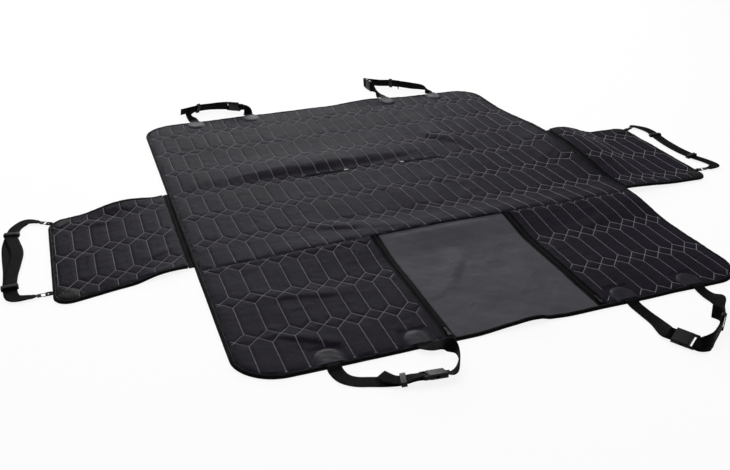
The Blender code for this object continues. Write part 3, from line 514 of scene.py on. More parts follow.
# %% Quilted panels
def closed_cloth(name, x, y, top, material, replaces):
    """A closed sheet from flat grids x, y and its top's height, its underside sharing every fourth point.

    Each quad on top is cut along its lower diagonal, so that a slanting valley keeps a straight bottom."""
    rows, cols = x.shape
    keep_i, keep_j = sorted({*range(0, rows - 1, 4), rows - 1}), sorted({*range(0, cols - 1, 4), cols - 1})
    over = drape(np.stack([x, y, top], -1)).reshape(-1, 3)
    low_x, low_y = x[np.ix_(keep_i, keep_j)], y[np.ix_(keep_i, keep_j)]
    under = drape(np.stack([low_x, low_y, np.full_like(low_x, UNDER)], -1)).reshape(-1, 3)
    quads, z = np.array(grid_faces(rows, cols)), top.ravel()
    turn = z[quads[:, 0]] + z[quads[:, 2]] > z[quads[:, 1]] + z[quads[:, 3]]
    quads[turn] = np.roll(quads[turn], -1, axis=1)
    faces = np.concatenate([quads[:, [0, 1, 2]], quads[:, [0, 2, 3]]]).tolist()
    below = np.array(grid_faces(len(keep_i), len(keep_j)))[:, ::-1] + len(over)
    faces += below.tolist()
    round_it = [(0, j) for j in range(cols - 1)] + [(i, cols - 1) for i in range(rows - 1)]
    round_it += [(rows - 1, j) for j in range(cols - 1, 0, -1)] + [(i, 0) for i in range(rows - 1, 0, -1)]
    row_of, col_of = {i: k for k, i in enumerate(keep_i)}, {j: k for k, j in enumerate(keep_j)}
    shared = [k for k, (i, j) in enumerate(round_it) if i in row_of and j in col_of]
    for a, b in zip(shared, shared[1:] + [len(round_it)]):
        upper = [round_it[k % len(round_it)] for k in range(a, b + 1)]
        ends = [len(over) + row_of[i] * len(keep_j) + col_of[j] for i, j in (upper[-1], upper[0])]
        faces.append([*ends[::-1], *[i * cols + j for i, j in upper]][::-1])
    uv = np.concatenate([np.stack([x, y], -1).reshape(-1, 2), np.stack([low_x, low_y], -1).reshape(-1, 2)])
    return piece(name, np.concatenate([over, under]), faces, material, uv, replaces)


def flat_grid(panel, dx, dy):
    """Flat grid of a panel, its lines on whole steps, drawn in near the corners to follow their curve."""
    x0, x1, y0, y1 = panel["box"]

    def lines(a, b, origin, step):
        """a and b, and between them every whole step from the origin that isn't close to either."""
        first, last = math.ceil((a - origin) / step + 0.3), math.floor((b - origin) / step - 0.3)
        return np.array([a, *(origin + step * np.arange(first, last + 1)), b])

    y, x = np.meshgrid(lines(y0, y1, panel.get("row", 0.0), dy), lines(x0, x1, 0.0, dx), indexing="ij")
    left, right = side_x(panel, y)
    reach = 0.13
    x = np.where(x < x0 + reach, x0 + reach - (x0 + reach - x) * (x0 + reach - left) / reach, x)
    x = np.where(x > x1 - reach, x1 - reach + (x - x1 + reach) * (right - x1 + reach) / reach, x)
    return x, y


STEPS_ACROSS, STEPS_UP = 12, 40  # grid lines to a stitch line and to a row of diamonds
for name, panel in PANELS.items():
    x, y = flat_grid(panel, PITCH / STEPS_ACROSS, PERIOD / STEPS_UP)
    quilt = closed_cloth(name + "_quilt", x, y, quilt_top(panel, x, y), QUILT, [name + "_panel"])
    print(quilt.name, len(quilt.data.polygons), "faces")

# %% [markdown]
# ## The stitches
# The thread shows as pale dashes, since it dives through the quilt after each stitch. A dash is a small
# spindle: two tips pushed into the cloth and two square rings between them. Thousands of them are laid at
# once from arrays of middles and directions.


# %% Quilting thread
SPINDLE = []  # faces of one spindle: tips 0 and 1, a ring of four points near tip 0, and one near tip 1
for a, b in ((0, 1), (1, 2), (2, 3), (3, 0)):
    SPINDLE += [[0, 2 + a, 2 + b], [1, 6 + b, 6 + a], [2 + a, 6 + a, 6 + b], [2 + a, 6 + b, 2 + b]]


def many(name, points, material):
    """One object of many spindles, from ten arrays of points."""
    v = np.stack(points, axis=1)
    k = len(points) * np.arange(len(v))[:, None, None]
    return piece(name, v, (k + np.array(SPINDLE)).reshape(-1, 3).tolist(), material)


def sewn_line(name, mid, run, height, radius, material):
    """Dashes on the cloth at a height given at their middle. Their tips lie 0.3 mm lower, and the rings
    between them stand the radius out from the line, 0.3 mm higher."""
    sunk, square = 0.0003, ((1, 0), (0, 1), (-1, 0), (0, -1))
    z = np.broadcast_to(height - sunk, len(mid))
    p, q = (drape(np.column_stack([mid + share * run, z])) for share in (-0.5, 0.5))
    along = (q - p) / np.linalg.norm(q - p, axis=1)[:, None]
    across = np.cross(along, (0.0, 0.0, 1.0))
    across /= np.linalg.norm(across, axis=1)[:, None]
    up = np.cross(across, along)
    around = [radius * (c * across + s * up) for c, s in square]
    rings = [p * (1 - t) + q * t + (0, 0, sunk) + out for t in (0.16, 0.84) for out in around]
    return many(name, [p, q, *rings], material)


def dashes(starts, ends, step, length):
    """Middle and direction of every dash along rows of straight lines."""
    starts, ends = np.asarray(starts, float), np.asarray(ends, float)
    count = max(1, round(float(np.linalg.norm(ends[0] - starts[0])) / step))
    t = ((np.arange(count) + 0.5) / count)[None, :, None]
    mid = (starts[:, None] * (1 - t) + ends[:, None] * t).reshape(-1, 2)
    run = (ends - starts) / np.linalg.norm(ends - starts, axis=1)[:, None]
    return mid, np.repeat(run, count, axis=0) * length


def quilt_dashes(panel):
    """Every stitch of a panel: upright lines between diamonds, and four sides to each diamond."""
    x0, x1, y0, y1 = panel["box"]
    row = panel["row"]
    i = np.arange(math.floor(x0 / PITCH) - 1, math.ceil(x1 / PITCH) + 2) * PITCH
    j = row + np.arange(math.floor((y0 - row) / PERIOD) - 1, math.ceil((y1 - row) / PERIOD) + 2) * PERIOD
    cell = np.stack([a.ravel() for a in np.meshgrid(i, j)], 1)
    h, r = DIAMOND / 2, PITCH / 2
    lines = [((0, h), (0, PERIOD - h), STITCH_UPRIGHT)]
    lines += [((0, sy * h), (sx * r, 0), STITCH_SLANTED) for sx in (-1, 1) for sy in (-1, 1)]
    found = [dashes(cell + start, cell + end, STITCH_STEP, long) for start, end, long in lines]
    mid, run = (np.concatenate(part) for part in zip(*found))
    left, right = side_x(panel, mid[:, 1])
    clear_x, clear_y, clear_slit = 0.004, 0.003, 0.009
    inside = (mid[:, 0] > left + clear_x) & (mid[:, 0] < right - clear_x)
    inside &= (mid[:, 1] > y0 + clear_y) & (mid[:, 1] < y1 - clear_y)
    inside &= patch_mask(*mid.T) < 0.5
    if panel["slits"]:
        inside &= slit_distance(*mid.T) > clear_slit
    return mid[inside], run[inside]


for name, panel in PANELS.items():
    mid, run = quilt_dashes(panel)
    top = quilt_top(panel, *mid.T) + STITCH_PROUD
    sewn = sewn_line(name + "_stitches", mid, run, top, STITCH_R, THREAD)
    print(sewn.name, len(mid), "stitches")

# %% [markdown]
# ## The plain centre panel
# Between the zips lies one unquilted layer of heavier oxford. It is a thin sheet that follows the folds,
# with a few shallow buckles of its own where the zips hold it.


# %% Centre panel
half = CENTRE_X - ZIP_W / 2 - GAP
CENTRE = {"box": (-half, half, low, seam), "radii": (0, 0, 0, 0)}
CENTRE_STEP, SEWN_THIN, SLACK_HEIGHT, SLACK_REACH = 0.006, 0.0012, 0.0030, 0.03
x, y = flat_grid(CENTRE, CENTRE_STEP, CENTRE_STEP)
gap = np.minimum(half - np.abs(x), np.minimum(y - low, seam - y))
slack = 0.5 + 0.6 * waves(x, y, 0.16, 23) + 0.8 * waves(x, y, 0.06, 29) + 0.25 * waves(x, y, 0.022, 47)
top = CENTRE_THICK - SEWN_THIN + SLACK_HEIGHT * np.clip(gap / SLACK_REACH, 0, 1) * slack
centre = closed_cloth("centre_panel_cloth", x, y, top, PLAIN, ["centre_panel"])
print(centre.name, len(centre.data.polygons), "faces")

# %% [markdown]
# ## Binding tape
# The raw edge is wrapped in a folded tape and sewn through. Its cross-section is carried along the edge of
# the cut: the profile says how far in from the edge and how high each of its points lies.


# %% Paths and swept profiles
def rounded_path(x0, x1, y0, y1, r, step):
    """Points and outward directions round a rectangle with rounded corners, from the low left corner."""
    points, outward = [], []
    for cx, cy, start in ((x0 + r, y0 + r, 180), (x1 - r, y0 + r, 270), (x1 - r, y1 - r, 0), (x0 + r, y1 - r, 90)):
        a = np.radians(start + np.linspace(0, 90, max(4, round(r * math.pi / 2 / step) + 1)))
        points.append(np.stack([cx + r * np.cos(a), cy + r * np.sin(a)], 1))
        outward.append(np.stack([np.cos(a), np.sin(a)], 1))
    p, n = [], []
    for k in range(4):
        a, b = points[k][-1], points[(k + 1) % 4][0]
        t = np.linspace(0, 1, max(2, round(float(np.linalg.norm(b - a)) / step) + 1))[1:-1, None]
        p += [points[k], a * (1 - t) + b * t]
        n += [outward[k], np.repeat(outward[k][-1:], len(t), 0)]
    return np.concatenate(p), np.concatenate(n)


def swept(name, path, outward, profile, material, replaces=(), closed=True, ripple=0.0):
    """A profile of (distance in from the edge, height) carried along a flat path, then draped."""
    profile = np.array(profile)
    p = path[:, None, :] - outward[:, None, :] * profile[None, :, :1]
    z = np.broadcast_to(profile[None, :, 1], p.shape[:2]).copy()
    z *= 1 + ripple * (waves(p[..., 0], p[..., 1], 0.022, 31) + 0.5 * waves(p[..., 0], p[..., 1], 0.09, 37))
    v = drape(np.concatenate([p, z[..., None]], -1))
    rows, cols = z.shape
    faces = grid_faces(rows, cols, wrap_rows=closed, wrap_cols=True)
    if not closed:
        faces += [list(range(cols))[::-1], [(rows - 1) * cols + k for k in range(cols)]]
    uv = np.stack(np.broadcast_arrays(run_length(profile)[None, :], run_length(path)[:, None]), -1)
    return piece(name, v.reshape(-1, 3), faces, material, uv, replaces)


TAPE_PROFILE = ((0.0008, 0.0001), (0.0, 0.0012), (0.0002, 0.0036), (0.0012, 0.0056), (0.0032, 0.0066),
                (0.0058, 0.0068), (0.0069, 0.0061), (0.0080, 0.0066), (0.0089, 0.0060), (0.0092, 0.0044),
                (0.0091, 0.0001))  # its groove, 6.9 mm in, takes the stitches
TAPE_SEAM = (0.0069, 0.0067)

# %% Edge tape, its stitches, and the flaps' tapes
TAPE_STEP, TAPE_RIPPLE = 0.005, 0.10
path, outward = rounded_path(-HALF_W, HALF_W, -HALF_L, HALF_L, CORNER_R, TAPE_STEP)
binding = swept("edge_binding", path, outward, TAPE_PROFILE, TAPE, ["edge_tape"], ripple=TAPE_RIPPLE)


def line_stitches(name, path, outward, inward, height):
    """Stitches of 3 mm every 4 mm along a path, at a distance in from it."""
    step, half_stitch = 0.004, 0.0015
    line = path - outward * inward
    reach = run_length(line)
    s = np.arange(step / 2, reach[-1], step)

    def at(d):
        """Point of the line at each distance along it."""
        return np.stack([np.interp(d, reach, line[:, k]) for k in (0, 1)], 1)

    return sewn_line(name, at(s), at(s + half_stitch) - at(s - half_stitch), height, 0.0004, DARK_THREAD)


line_stitches("edge_binding_stitches", path, outward, *TAPE_SEAM)
for sign, tag in ((-1, "left"), (1, "right")):
    p, n = rounded_path(-HALF_W - FLAP_W, HALF_W + FLAP_W, FLAP_FRONT_Y, FLAP_BACK_Y, FLAP_R, TAPE_STEP)
    order = np.argsort(np.arctan2(p[:, 1] - (FLAP_FRONT_Y + FLAP_BACK_Y) / 2, p[:, 0]))
    keep = [k for k in order if p[k, 0] > HALF_W + 2 * GAP + FLAP_ZIP_W]
    p, n = p[keep] * (sign, 1), n[keep] * (sign, 1)
    swept(tag + "_flap_binding", p, n, TAPE_PROFILE, TAPE, [tag + "_flap_tape"], closed=False,
          ripple=TAPE_RIPPLE)
    line_stitches(tag + "_flap_binding_stitches", p, n, *TAPE_SEAM)
print(binding.name, len(path), "steps along", len(TAPE_PROFILE), "points across")

# %% [markdown]
# ## Seat-belt slits and flap corners
# Two slits in the crease let the belts through. Each has two narrow bound lips, and its ends are stopped
# with a bar of dense stitches, white at the inner end. The flaps' outer corners are backed with coated cloth
# where the straps pull, drawn here as a thin slab that follows the quilting.


# %% Slits and corners
def slab(name, flat, below, above, material):
    """A closed plate on the cloth from a grid of flat points, its underside's height and its top's."""
    rows, cols = flat.shape[:2]
    levels = [drape(np.dstack([flat, np.broadcast_to(z, (rows, cols))])).reshape(-1, 3) for z in (above, below)]
    top = np.array(grid_faces(rows, cols))
    ring = [*range(cols), *(i * cols + cols - 1 for i in range(1, rows))]
    ring += [*((rows - 1) * cols + j for j in range(cols - 2, -1, -1)), *(i * cols for i in range(rows - 2, 0, -1))]
    n = rows * cols
    faces = top.tolist() + (top[:, ::-1] + n).tolist()
    faces += [[b, a, a + n, b + n] for a, b in zip(ring, ring[1:] + ring[:1])]
    uv = np.concatenate([flat.reshape(-1, 2)] * 2)
    return piece(name, np.concatenate(levels), faces, material, uv)


def corner_grid(reach):
    """Flat grid of a corner's backing, measured from the flap's middle line and its end: 13 rows from
    the rounded corner to an inner edge that is a straight line hollowed by 12 mm times a half sine."""
    a = np.radians(np.linspace(0, 90, 13))
    arc = np.stack([flap_out - flap_r + flap_r * np.cos(a), -flap_r + flap_r * np.sin(a)], 1)
    along_side, along_end = np.array([flap_out, -reach]), np.array([flap_out - reach, 0.0])
    rim = [np.linspace(along_side, arc[0], 9)[:-1], arc, np.linspace(arc[-1], along_end, 9)[1:]]
    rim = np.concatenate(rim)
    t = np.linspace(0, 1, len(rim))[:, None]
    hollow = 0.012 * np.sin(math.pi * t) * (-0.7, -0.7)
    inside = (along_side + (-0.006, 0)) * (1 - t) + (along_end + (0, -0.006)) * t + hollow
    share = np.linspace(0, 1, 13)[:, None, None]
    return rim[None] * (1 - share) + inside[None] * share


LIP = ((0.0, 0.0040), (0.0001, 0.0060), (0.0010, 0.0069), (0.0034, 0.0068), (0.0042, 0.0058), (0.0042, 0.0040))
CORNERS = (("back", 1, flap_high, 0.048), ("front", -1, flap_low, 0.062))
for sign, tag in ((-1, "left"), (1, "right")):
    along = np.linspace(-SLIT_LEN / 2, SLIT_LEN / 2, 31)[:, None] * (1, 0)
    for facing, lip in ((1, "far"), (-1, "near")):
        path = np.array([sign * SLIT_X, CREASE_Y + GAP * facing]) + along
        outward = np.repeat([[0.0, -1.0 * facing]], len(path), 0)
        swept(f"{tag}_slit_lip_{lip}", path, outward, LIP, TAPE, closed=False, ripple=0.04)
    for end, cloth, place in ((-sign, WHITE_THREAD, "inner"), (sign, DARK_THREAD, "outer")):
        x = sign * SLIT_X + end * (SLIT_LEN / 2 - np.arange(13) * 0.0009)
        mid = np.stack([x, np.full_like(x, CREASE_Y)], 1)
        sewn_line(f"{tag}_slit_bar_{place}", mid, (0.0006, 0.0050) + 0 * mid, 0.0076, 0.0005, cloth)
for sign, tag in ((-1, "left"), (1, "right")):
    for place, end, edge_y, reach in CORNERS:
        flat = corner_grid(reach) * (sign, end) + (0, edge_y)
        top = quilt_top(PANELS[tag + "_flap"], flat[..., 0], flat[..., 1])
        slab(f"{tag}_flap_corner_{place}", flat, top - 0.0006, top + 0.0008, CORNER)
print("slits: 2, flap corners: 4")

# %% [markdown]
# ## Zips
# A nylon coil zip is two woven tapes with a spiral of nylon sewn to each. Closed, it shows as a row of short
# bars lying across. Each bar is a spindle of four sides, which is plenty at this size.


# %% Zip tapes and teeth
def zip_row(name, x, half, y0, y1, teeth_half):
    """Tape with raised edges and a channel for the coil, then the coil's bars every 1.6 mm. Each bar has
    two tips across, and four points round it at 0.55 of the way to either tip."""
    profile = ((-0.0010, 0.0001), (-0.0010, 0.0018), (0.0004, 0.0022), (0.0022, 0.0029),
               (half - teeth_half - 0.0006, 0.0028), (half - 0.0004, 0.0024))
    profile = [*profile, *[(2 * half - a, z) for a, z in profile[::-1]]]
    y = np.linspace(y0, y1, round((y1 - y0) / 0.005) + 1)
    path = np.stack([np.full_like(y, x + half), y], 1)
    outward = np.repeat([[1.0, 0.0]], len(y), 0)
    swept(name + "_tape", path, outward, profile, ZIP_TAPE, [name], closed=False, ripple=0.05)
    y = np.arange(y0 + 0.001, y1 - 0.001, 0.0016)
    mid, ahead = (drape(np.stack([np.full_like(y, x), y + d, np.full_like(y, 0.0036)], 1)) for d in (0, 0.001))
    across, along, up = np.array([teeth_half, 0, 0]), 0.6 * (ahead - mid), np.array([0, 0, 0.0011])
    ring = [mid + along, mid + up, mid - along, mid - up]
    near, far = [r + 0.55 * across for r in ring], [r - 0.55 * across for r in ring]
    many(name + "_coil", [mid + across, mid - across, *near, *far], COIL)


for sign, tag in ((-1, "left"), (1, "right")):
    zip_row(f"centre_zip_{tag}", sign * CENTRE_X, ZIP_W / 2, low, seam - GAP / 2, 0.0027)
    x = sign * (HALF_W + GAP + FLAP_ZIP_W / 2)
    zip_row(f"{tag}_flap_zip", x, FLAP_ZIP_W / 2, FLAP_FRONT_Y, FLAP_BACK_Y, 0.0022)
print("zips: 4")

# %% [markdown]
# ## Strap patches
# A half moon of coated cloth covers each strap's end. It is domed over the folded webbing and sewn down
# round its curve. Rings shrink from the outline to a centre, and the height only depends on the distance
# from the curved edge, with a dimple where the stitches pull it down.


# %% Half-moon patches
MOON_EDGE = HALF_L - TAPE_W - GAP  # its straight side, along the tape
MOON_BASE, MOON_DEPTH = MOON_EDGE - 0.35 * PATCH_L, 0.65 * PATCH_L  # where its curve starts, and how deep it is
SIDE_POINTS, ARC_POINTS, SEAM_IN = 8, 64, 0.0042


def patch_outline(x, end):
    """A straight side along the tape, short upright sides, and a half ellipse towards the cover's middle."""
    def line(a, b, points):
        """Points from a on, evenly spaced, stopping short of b."""
        t = np.linspace(0, 1, points + 1)[:-1, None]
        return a * (1 - t) + b * t

    a = np.linspace(0, math.pi, ARC_POINTS)
    arc = np.stack([x + PATCH_W / 2 * np.cos(a), MOON_BASE - MOON_DEPTH * np.sin(a)], 1)
    right, left = np.array([x + PATCH_W / 2, MOON_EDGE]), np.array([x - PATCH_W / 2, MOON_EDGE])
    sides = line(right, arc[0], SIDE_POINTS), line(arc[-1], left, SIDE_POINTS)
    return np.concatenate([sides[0], arc[:-1], sides[1], line(left, right, 16)]) * (1, end)


def moon_height(x, y, root):
    """Dome over the strap's end: a smooth step up over 17 mm from the curve, a narrow dip where the
    stitches lie, another at the rim, and soft creases."""
    deep = np.clip((MOON_BASE - np.abs(y)) / MOON_DEPTH, 0, 1)
    rim_gap = (1 - np.hypot((x - root) / (PATCH_W / 2), deep)) * PATCH_W / 2
    step = np.clip(rim_gap / 0.017, 0, 1)
    dome = 0.0052 + 0.0042 * step * step * (3 - 2 * step)
    pulled = 0.0011 * np.exp(-(((rim_gap - SEAM_IN) / 0.0016) ** 2))
    rim = 0.0016 * np.exp(-((rim_gap / 0.0012) ** 2))
    return dome - pulled - rim + 0.0005 * waves(x, y, 0.02, 41) * step


def strap_patch(name, root, end, node_name):
    """The patch: rings from the outline to its middle, a wall down to the quilt, a base, and its seam."""
    outline = patch_outline(root, end)
    middle = np.array([root, end * (HALF_L - TAPE_W - 0.42 * PATCH_L)])
    share = np.concatenate([[1.0, 1.0], np.linspace(0.985, 0.06, 22)])
    flat = middle + (outline - middle)[None] * share[:, None, None]
    z = moon_height(flat[..., 0], flat[..., 1], root)
    z[0] = 0.0038
    rows, cols = z.shape
    v = drape(np.dstack([flat, z])).reshape(-1, 3)
    tip = drape(np.array([[*middle, moon_height(*middle, root)]]))
    under = drape(np.column_stack([outline, np.full(cols, 0.0030)]))
    faces = grid_faces(rows, cols, wrap_cols=True)
    last, n = (rows - 1) * cols, rows * cols
    turn = [(k, (k + 1) % cols) for k in range(cols)]
    faces += [[last + a, last + b, n] for a, b in turn]
    faces += [[n + 1 + a, n + 1 + b, b, a] for a, b in turn]
    faces += [[n + 1 + a for a, _ in turn][::-1]]
    uv = np.concatenate([flat.reshape(-1, 2), middle[None], outline])
    piece(name, np.concatenate([v, tip, under]), faces, PATCH, uv, [node_name])
    curve = outline[SIDE_POINTS:SIDE_POINTS + ARC_POINTS]
    inward = (curve - middle) / np.linalg.norm(curve - middle, axis=1)[:, None]
    sewn = curve - inward * SEAM_IN
    mid, run = (sewn[1:] + sewn[:-1]) / 2, np.diff(sewn, axis=0) * 0.9
    sewn_line(name + "_stitches", mid, run, moon_height(*mid.T, root) + 0.0003, 0.0004, DARK_THREAD)


for end, row in ((1, "back"), (-1, "front")):
    for sign, hand in ((-1, "left"), (1, "right")):
        for root, place in zip(ROOT_X, ("inner", "outer")):
            strap_patch(f"{row}_{hand}_{place}_moon", sign * root, end, f"{row}_patch_{hand}_{place}")
print("patches: 8")

# %% [markdown]
# ## Webbing
# A strap is a flat ribbon, 32 mm wide and 1.6 mm thick. Its route is a smooth spline through the same points
# as the part's, each with the direction across the strap. The cross-section is a rounded oblong that is
# carried along, turned to that direction.


# %% Ribbons
def spline(rows, n):
    """Catmull-Rom spline through rows of numbers, n steps between each pair."""
    c = np.array(rows, float)
    c = np.vstack([2 * c[0] - c[1], c, 2 * c[-1] - c[-2]])
    t = (np.arange(n) / n)[None, :, None]
    a, b, d, e = (c[k:len(c) - 3 + k][:, None] for k in range(4))
    out = 0.5 * (2 * b + (d - a) * t + (2 * a - 5 * b + 4 * d - e) * t**2 + (3 * b - a - 3 * d + e) * t**3)
    return np.vstack([out.reshape(-1, c.shape[1]), c[-2]])


def ribbon(name, rows, nodes, flat=False):
    """A strap along a spline: its frame is the run, the given direction made square to it, and their cross.
    A flat one lies on the floor, so its width is level and square to its run. The cross-section thins
    towards the edges by 1 - 0.55 s to the power 8, with a small bead just inside them."""
    rows = [(*row, WEB_W) if len(row) == 6 else tuple(row) for row in rows]
    line = spline(rows, 12)
    pos, across, width = line[:, :3], line[:, 3:6], line[:, 6:]
    run = np.gradient(pos, axis=0)
    run /= np.linalg.norm(run, axis=1)[:, None]
    if flat:
        across = np.cross((0.0, 0.0, 1.0), run)
    across = across - run * (across * run).sum(1)[:, None]
    across /= np.linalg.norm(across, axis=1)[:, None]
    face = np.cross(run, across)
    s = np.concatenate([np.linspace(-1, 1, 9), np.linspace(1, -1, 9)])
    edge = 1 - 0.55 * np.abs(s) ** 8
    h = np.where(np.arange(18) < 9, 1, -1) * edge * (1 + 0.12 * np.exp(-(((np.abs(s) - 0.86) / 0.08) ** 2)))
    mid = pos[:, None] + across[:, None] * (s[None, :, None] * width[:, None] / 2)
    mid[..., 2] = np.maximum(mid[..., 2], WEB_T / 2 + UNDER)  # the floor holds it up
    v = mid + face[:, None] * (h[None, :, None] * WEB_T / 2)
    rows_n, cols = len(pos), len(s)
    faces = grid_faces(rows_n, cols, wrap_cols=True)
    faces += [list(range(cols))[::-1], [(rows_n - 1) * cols + k for k in range(cols)]]
    uv = np.stack(np.broadcast_arrays(s[None] * width / 2, run_length(pos)[:, None]), -1)
    return piece(name, v, faces, WEBBING, uv, nodes)


def rooted(x, end):
    """A strap's first points: under its patch, over the edge tape, and down outside it."""
    out = []
    steps = (-TAPE_W - NOTCH + GAP, WEB_Z), (-TAPE_W, WEB_Z), (0.001, WEB_Z), (0.016, 0.0042)
    for y, z in ((HALF_L + d, z) for d, z in steps):
        left, mid, right = drape(np.array([(x + d * WEB_W, end * y, 0.0) for d in (-0.5, 0, 0.5)]))
        keep = 1.0 if y <= HALF_L + 0.001 else 0.7
        wide = min(WEB_W, right[0] - left[0])
        base = max(mid[2], (left[2] + right[2]) / 2)
        out.append((mid[0], end * y, base * keep + z, 1, 0, keep * (right[2] - left[2]) / wide, wide))
    return out


def doubled(band):
    """Both layers of a strap that goes round a bar: out along the band, round the bar's end, and back."""
    b, spread = np.array(band, float), 0.0034
    run = np.gradient(b[:, :3], axis=0)
    run /= np.linalg.norm(run, axis=1)[:, None]
    face = np.cross(run, b[:, 3:])
    face /= np.linalg.norm(face, axis=1)[:, None]
    off = np.full(len(b), LAYER / 2)
    off[-2:] = spread * 0.85, spread
    first = [(*(p[:3] - face[i] * off[i]), *p[3:]) for i, p in enumerate(b)]
    back = [(*(p[:3] + face[i] * off[i]), *p[3:]) for i, p in enumerate(b)][::-1]
    turn = []
    for a in (-45, 0, 45):
        c, s = math.cos(math.radians(a)), math.sin(math.radians(a))
        turn.append((*(b[-1, :3] + run[-1] * spread * c + face[-1] * spread * s), *b[-1, 3:]))
    return first + turn + back


def moved(rows, dx, dy):
    """Points measured from an edge of the cover, put at that edge."""
    return [(row[0] + dx, row[1] + dy, *row[2:]) for row in rows]


def frame_at(pos, along, across):
    """Local X along the strap, local Y across it, local Z out of its face."""
    x = Vector(along).normalized()
    y = Vector(across)
    y = (y - x * y.dot(x)).normalized()
    m = Matrix((x, y, x.cross(y))).transposed().to_4x4()
    m.translation = Vector(pos)
    return m


def same_way(wide, row):
    """A direction across the strap, turned round where it points against that of a row of the route."""
    return -wide if wide.dot(Vector(row[3:6])) < 0 else wide


# %% Routes of the headrest loops, measured in Y from the cover's edge
UP = (0, 0, 1)
TIPPED = (0, 0.53, -0.85)  # across a band that stands on its edge and leans towards the cover

LOOPS = {
    "back_left": (1, {
        "root_a": -ROOT_X[1], "root_b": -ROOT_X[0], "across": TIPPED,
        "reach_a": [(-0.446, 0.032, 0.0045, 1, 0, 0), (-0.452, 0.060, 0.0115, 0.85, 0.15, -0.5),
                    (-0.446, 0.083, 0.0165, 0.45, 0.4, -0.8)],
        "band": [(-0.427, 0.0955, 0.0200, *TIPPED), (-0.402, 0.103, 0.0200, *TIPPED),
                 (-0.366, 0.1075, 0.0185, *TIPPED)],
        "mouth": (-0.3026, 0.0797, 0.0212), "to_socket": (0.85, -0.53, 0),
        "tail": [(-0.452, 0.093, 0.0185, *TIPPED), (-0.478, 0.0885, 0.0168, *TIPPED)],
        "reach_b": [(-0.249, 0.034, 0.0105, 0.75, 0.05, 0.65)],
    }),
    "back_right": (1, {
        "root_a": ROOT_X[1], "root_b": ROOT_X[0], "across": TIPPED,
        "reach_a": [(0.456, 0.031, 0.0125, 0.8, 0.15, -0.55), (0.440, 0.053, 0.0175, 0.35, 0.45, -0.82),
                    (0.410, 0.079, 0.0180, *TIPPED), (0.376, 0.110, 0.0190, *TIPPED)],
        "band": [(0.354, 0.126, 0.0200, *TIPPED), (0.331, 0.139, 0.0200, *TIPPED),
                 (0.300, 0.155, 0.0190, *TIPPED), (0.266, 0.178, 0.0200, *TIPPED)],
        "mouth": (0.2516, 0.1494, 0.0212), "to_socket": (0.1, -0.995, 0),
        "tail": [(0.366, 0.112, 0.0190, *TIPPED), (0.362, 0.095, 0.0180, *TIPPED)],
        "reach_b": [(0.2645, 0.036, 0.0060, 1, 0, 0.1), (0.2640, 0.066, 0.0145, 0.7, 0.1, -0.7)],
    }),
    "front_left": (-1, {
        "root_a": -ROOT_X[1], "root_b": -ROOT_X[0], "across": (0, 0.93, -0.36),
        "reach_a": [(-0.419, -0.040, 0.0026, 1, 0.15, 0), (-0.400, -0.058, 0.0022, 0.7, 0.7, 0),
                    (-0.372, -0.069, 0.0022, 0.3, 1, 0), (-0.345, -0.080, 0.0034, 0.1, 1, 0)],
        "band": [(-0.322, -0.0895, 0.0068, 0.03, 1, -0.06), (-0.302, -0.095, 0.0098, 0, 0.97, -0.20)],
        "mouth": (-0.2624, -0.101, 0.0128), "to_socket": (0.995, -0.1, 0),
        "tail": [(-0.338, -0.080, 0.0095, 0.45, 0.88, 0), (-0.350, -0.062, 0.0095, 0.72, 0.68, 0)],
        "turn_b": [(-0.214, -0.010, 0.0104, 0.7, 0.72, 0)],
        "reach_b": [(-0.196, -0.012, 0.0112, 0.2, 1, 0.03), (-0.181, -0.019, 0.0140, 0.1, 0.85, 0.45),
                    (-0.1735, -0.038, 0.0185, 0, 0.35, 0.94), (-0.1775, -0.063, 0.0190, 0, 0.1, 1),
                    (-0.191, -0.088, 0.0170, 0, -0.4, 0.92)],
    }),
    "front_right": (-1, {
        "root_a": ROOT_X[1], "root_b": ROOT_X[0], "across": (0.82, 0.47, 0.33),
        "reach_a": [(0.473, -0.040, 0.0055, 1, 0, 0.1), (0.470, -0.070, 0.0135, 0.75, -0.2, 0.6),
                    (0.456, -0.100, 0.0190, 0.35, -0.1, 0.93), (0.437, -0.126, 0.0205, *UP)],
        "band": [(0.4185, -0.1475, 0.0212, *UP), (0.3985, -0.1655, 0.0210, *UP),
                 (0.368, -0.187, 0.0195, 0.1, 0.1, 1), (0.344, -0.2005, 0.0165, 0.45, 0.35, 0.8)],
        "mouth": (0.306, -0.182, 0.0124), "to_socket": (-0.5, 0.866, 0),
        "tail": [(0.424, -0.130, 0.0205, *UP), (0.418, -0.112, 0.0188, *UP)],
        "reach_b": [(0.291, -0.050, 0.0028, 1, 0, 0), (0.290, -0.095, 0.0055, 1, 0.15, 0.1)],
    }),
}


BEFORE_BAR, PAST_SOCKET = 0.012, (0.016, 0.004, -0.006)  # where the straps come straight at the buckle


